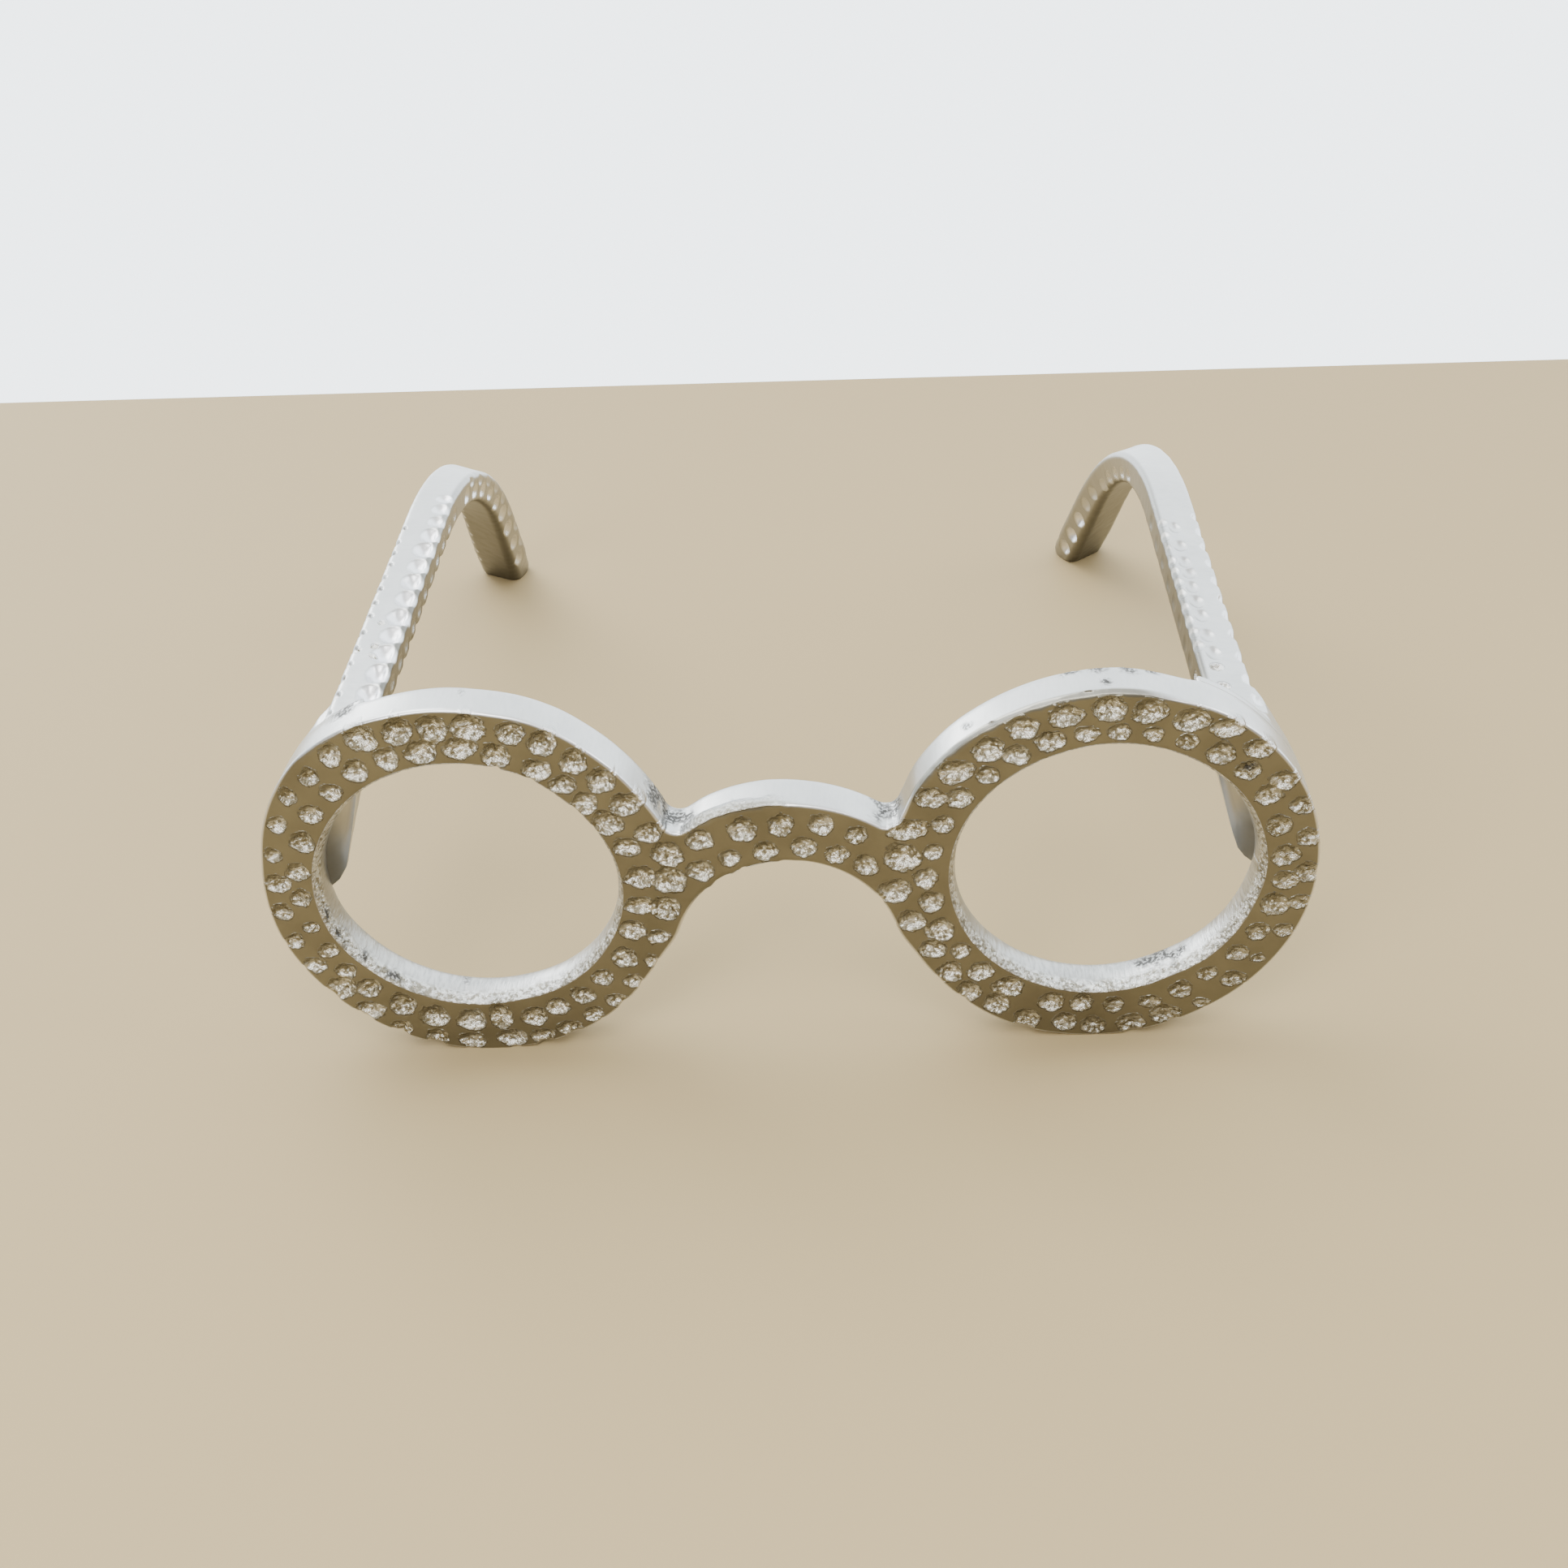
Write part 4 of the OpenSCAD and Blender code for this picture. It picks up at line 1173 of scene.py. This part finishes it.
def cast_metal(name, finishes, shade):
    """Plated cast metal: satin outside, a face painted in shade, pits painted bright with glints,
    grey pores
    """
    f = Finish(name, Metallic=1.0)
    # The pits' painted brightness, the painted shade and highlight, and the porous patches
    pit, painted_shade_and_highlight, grain = f.parts(f.attribute("shares"))
    lay, place = f.attribute("lay"), f.place()
    _, behind, inner_wall = f.parts(lay)
    cloud = f.noise(place, 0.009, 3)
    mottle = f.noise(place, 0.0028, 3)
    fine = f.noise(place, 0.0009, 3, 0.6)
    speck = f.noise(place, 0.0006, 2)
    crumple = f.noise(place, 0.0006, 4, 0.65)
    strokes = f.noise(f.stretch(lay, (1.3, 0.25, 1)), 1.0, 4, 0.6)
    jumble = f.node("ShaderNodeTexNoise", {}, {"Vector": place, "Scale": 900}, out=1)
    crease = f.node(
        "ShaderNodeMix", {"data_type": "VECTOR"}, {0: 0.0006, 4: place, 5: jumble}, out=1)
    facets = f.facets(crease, 0.0009)
    strip = inner_wall * f.ramp(0.1 * behind + 0.12 * mottle, (0.25, 1), (0.37, 0))
    crumpled = f.ramp(pit, (0.02, 0), (0.28, 1))

    plate, face, lit_pit_colour = finishes.plate, finishes.face, finishes.pit
    outside = f.mix(f.ramp(cloud, (0.3, 0), (0.75, 1)), opaque(plate), opaque(plate, 0.90))
    lines = f.ramp(strokes, (0.38, 1), (0.56, 0)) * (0.12 + 0.5 * inner_wall * (1 - strip))
    outside = f.mix(lines, outside, opaque(plate, 0.55))
    # Painted shade: the face's darker colour, darker still on the temples by the share in shade
    painted_shade = f.mix(
        f.ramp(cloud, (0.3, 0), (0.7, 1)), opaque(face, 0.90 * shade), opaque(face, 1.12 * shade))
    body = f.mix(painted_shade_and_highlight, outside, painted_shade)
    # Below zero the painted shade and highlight turns to the bright painted highlight colour
    body = f.mix(f.ramp(0 - painted_shade_and_highlight, (0.1, 0), (1, 1)), body, opaque(finishes.painted_highlight))
    # Painted glints: bright flecks on darker metal in the pits
    painted_glints = f.ramp(0.75 * fine + 0.25 * mottle, (0.44, 0), (0.54, 1))
    between = opaque(k * share for k, share in zip(lit_pit_colour, BETWEEN_PAINTED_GLINTS))
    bright = f.mix(painted_glints, between, opaque(lit_pit_colour))
    # The pits take the bright painted colour
    body = f.mix(f.ramp(pit, (0.3, 0), (0.95, 1)), body, bright)
    # The coarse strip in each opening takes the same bright colour with its painted glints
    body = f.mix(0.8 * strip, body, bright)
    body = f.mix(f.ramp(grain, (0.5, 0), (1, 0.55)), body, opaque(POROUS_GREY))
    pores = grain * f.ramp(speck, (0.48, 1), (0.58, 0))
    f.feed("Base Color", f.mix(0.9 * pores, body, opaque(PORE_DARK)))

    f.feed("Roughness", 0.28 + 0.08 * cloud - 0.17 * crumpled - 0.10 * strip
           + 0.10 * inner_wall * strokes + 0.3 * pores)
    height = (0.12 + 1.2 * inner_wall * (1 - strip)) * strokes + 3.6 * (crumpled + strip) * crumple
    height = height + 1.2 * (crumpled + strip) * facets + 1.8 * grain * speck + 0.25 * mottle
    f.feed("Normal", f.bump(0.8, 0.00014, height))
    return f.material


def pin_steel(name, finishes):
    """Turned steel with fine rings round it"""
    f = Finish(name, Metallic=1.0)
    place = f.place()
    rings = f.noise(f.stretch(place, (0.2, 6.0, 0.2)), 0.0006, 2)
    cloud = f.noise(place, 0.003, 3)
    f.feed("Base Color", f.mix(cloud, opaque(finishes.steel), opaque(finishes.steel, 0.8)))
    f.feed("Roughness", 0.28 + 0.22 * rings)
    f.feed("Normal", f.bump(0.15, 0.00005, rings))
    return f.material


def floor_finish(colour):
    """Plain matt floor with a hardly seen mottle"""
    f = Finish("floor", Roughness=0.7, Specular_IOR_Level=0.25)
    cloud = f.noise(f.place(), 0.12, 4)
    f.feed("Base Color", f.mix(cloud, opaque(colour), opaque(colour, 1.04)))
    return f.material


# Operators


def room_light(stage):
    """A plain room: bright behind the object, dimmer above it and dim in front of it"""
    world = bpy.data.worlds.new("room")
    world.use_nodes = True
    n = Nodes(world.node_tree, "BACKGROUND")
    _, back, up = n.parts(n.node("ShaderNodeTexCoord"))
    level = n.mix(n.ramp(0.5 + 0.5 * back, (0.40, 0), (0.68, 1)), opaque(stage.front_light),
                  opaque(stage.back_light))
    n.feed("Color", n.mix(n.ramp(up, (0.70, 0), (0.92, 1)), level, opaque(stage.ceiling)))
    n.end.inputs["Strength"].default_value = stage.room
    return world


def lay_floor(scene, colour):
    """The plain floor under the object"""
    mesh = bpy.data.meshes.new("floor")
    mesh.from_pydata(FLOOR_CORNERS, [], [(0, 1, 2, 3)])
    mesh.materials.append(floor_finish(colour))
    floor = bpy.data.objects.new("floor", mesh)
    scene.collection.objects.link(floor)
    return floor


def hang_lamps(scene, stage):
    """Large lamps above and behind, and weaker ones in front, all turned to the object's middle"""
    for name, place, size, power in (
            ("main_light", (-0.45, 0.35, 0.9), 0.7, stage.key),
            ("low_light", (-1.1, 1.3, 0.55), 0.6, stage.key),
            ("side_light", (0.8, -0.1, 0.6), 0.4, stage.key / 3),
            ("front_left_light", (-0.45, -0.85, 0.6), 0.4, stage.front),
            ("front_right_light", (0.5, -0.8, 0.75), 0.25, stage.front / 3),
            ("top_light", (-0.05, -0.55, 0.9), 0.45, stage.front)):
        light = bpy.data.lights.new(name, "AREA")
        light.size, light.energy = size, power
        lamp = bpy.data.objects.new(name, light)
        lamp.location = place
        lamp.visible_camera = False
        lamp.rotation_euler = (LIT_POINT - lamp.location).to_track_quat("-Z", "Y").to_euler()
        scene.collection.objects.link(lamp)


def set_camera(scene, stage):
    """The camera at its place, turned to its aim and then about its own axis"""
    eye, aim = Vector(stage.eye), Vector(stage.aim)
    ahead = (aim - eye).normalized()
    side = ahead.cross(Vector((0, 0, 1))).normalized()
    up = side.cross(ahead)
    right = math.cos(stage.roll) * side + math.sin(stage.roll) * up
    up = math.cos(stage.roll) * up - math.sin(stage.roll) * side
    view = bpy.data.cameras.new("camera")
    view.sensor_fit, view.sensor_width, view.lens = "HORIZONTAL", SENSOR, stage.lens
    view.clip_start = 0.01
    camera = bpy.data.objects.new("camera", view)
    camera.matrix_world = Matrix((
        (right.x, up.x, -ahead.x, eye.x), (right.y, up.y, -ahead.y, eye.y),
        (right.z, up.z, -ahead.z, eye.z), (0, 0, 0, 1)))
    scene.collection.objects.link(camera)
    scene.camera = camera


class EYEGLASSES_OT_front_casting(bpy.types.Operator):
    """Builds both rims and the bridge as one hammered casting"""

    bl_idname = "eyeglasses.front_casting"
    bl_label = "Front casting"

    def execute(self, context):
        scene = context.scene
        made = front_casting(scene.eyeglasses_front, scene.eyeglasses_surface)
        piece = mesh_piece("front_casting", *made)
        piece.data.materials.append(cast_metal("front_metal", scene.eyeglasses_finishes, 1.0))
        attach(piece, "root")
        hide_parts("front_frame")
        return {"FINISHED"}


class EYEGLASSES_OT_temples(bpy.types.Operator):
    """Builds the two temples, each with its foot, bar and hook"""

    bl_idname = "eyeglasses.temples"
    bl_label = "Temples"

    def execute(self, context):
        scene = context.scene
        metal = cast_metal("temple_metal", scene.eyeglasses_finishes, TEMPLE_PAINTED_SHADE)
        for side, label in ((LEFT, "left"), (RIGHT, "right")):
            made = temple_casting(
                scene.eyeglasses_front, scene.eyeglasses_temples, scene.eyeglasses_surface, side)
            piece = mesh_piece(f"{label}_temple_casting", *made)
            piece.data.materials.append(metal)
            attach(piece, "root")
            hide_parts(f"{label}_temple")
        return {"FINISHED"}


class EYEGLASSES_OT_hidden_pins(bpy.types.Operator):
    """Builds the threaded studs and the dowels that hold the temples"""

    bl_idname = "eyeglasses.hidden_pins"
    bl_label = "Studs and dowels"

    def execute(self, context):
        steel = pin_steel("pin_metal", context.scene.eyeglasses_finishes)
        for label in ("left", "right"):
            for kind, form, step in (
                    ("stud", thread, THREAD_STEP), ("dowel", chamfered, DOWEL_STEP)):
                node = f"{label}_{kind}"
                piece = mesh_piece(f"{node}_pin", *turned_pin(node, form, step))
                piece.data.materials.append(steel)
                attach(piece, "root")
                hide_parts(node)
        return {"FINISHED"}


class EYEGLASSES_OT_stage(bpy.types.Operator):
    """Sets up the floor, the light and the camera"""

    bl_idname = "eyeglasses.stage"
    bl_label = "Stage"

    def execute(self, context):
        scene, stage = context.scene, context.scene.eyeglasses_stage
        lay_floor(scene, stage.floor)
        scene.world = room_light(stage)
        hang_lamps(scene, stage)
        set_camera(scene, stage)
        return {"FINISHED"}


class EYEGLASSES_PT_workshop(bpy.types.Panel):
    """Lists the steps and the sizes in the sidebar"""

    bl_idname = "EYEGLASSES_PT_workshop"
    bl_label = "Eyeglasses sculpture"
    bl_space_type = "VIEW_3D"
    bl_region_type = "UI"
    bl_category = "Eyeglasses"

    def draw(self, context):
        for step in STEPS:
            self.layout.operator(step.bl_idname)
        for name, kind in SETTINGS.items():
            box = self.layout.box()
            box.label(text=kind.__doc__)
            for size in kind.__annotations__:
                box.prop(getattr(context.scene, name), size)


STEPS = (
    EYEGLASSES_OT_stage, EYEGLASSES_OT_front_casting, EYEGLASSES_OT_temples,
    EYEGLASSES_OT_hidden_pins)
SETTINGS = {
    "eyeglasses_front": FrontSizes,
    "eyeglasses_temples": TempleSizes,
    "eyeglasses_surface": SurfaceSizes,
    "eyeglasses_finishes": Finishes,
    "eyeglasses_stage": StageSettings,
}


def register():
    for kind in (*SETTINGS.values(), *STEPS, EYEGLASSES_PT_workshop):
        bpy.utils.register_class(kind)
    for name, kind in SETTINGS.items():
        setattr(bpy.types.Scene, name, PointerProperty(type=kind))


def unregister():
    for name in SETTINGS:
        delattr(bpy.types.Scene, name)
    for kind in reversed((*SETTINGS.values(), *STEPS, EYEGLASSES_PT_workshop)):
        bpy.utils.unregister_class(kind)


def main():
    register()
    bpy.ops.eyeglasses.stage()
    bpy.ops.eyeglasses.front_casting()
    bpy.ops.eyeglasses.temples()
    bpy.ops.eyeglasses.hidden_pins()


if __name__ == "__main__":
    main()
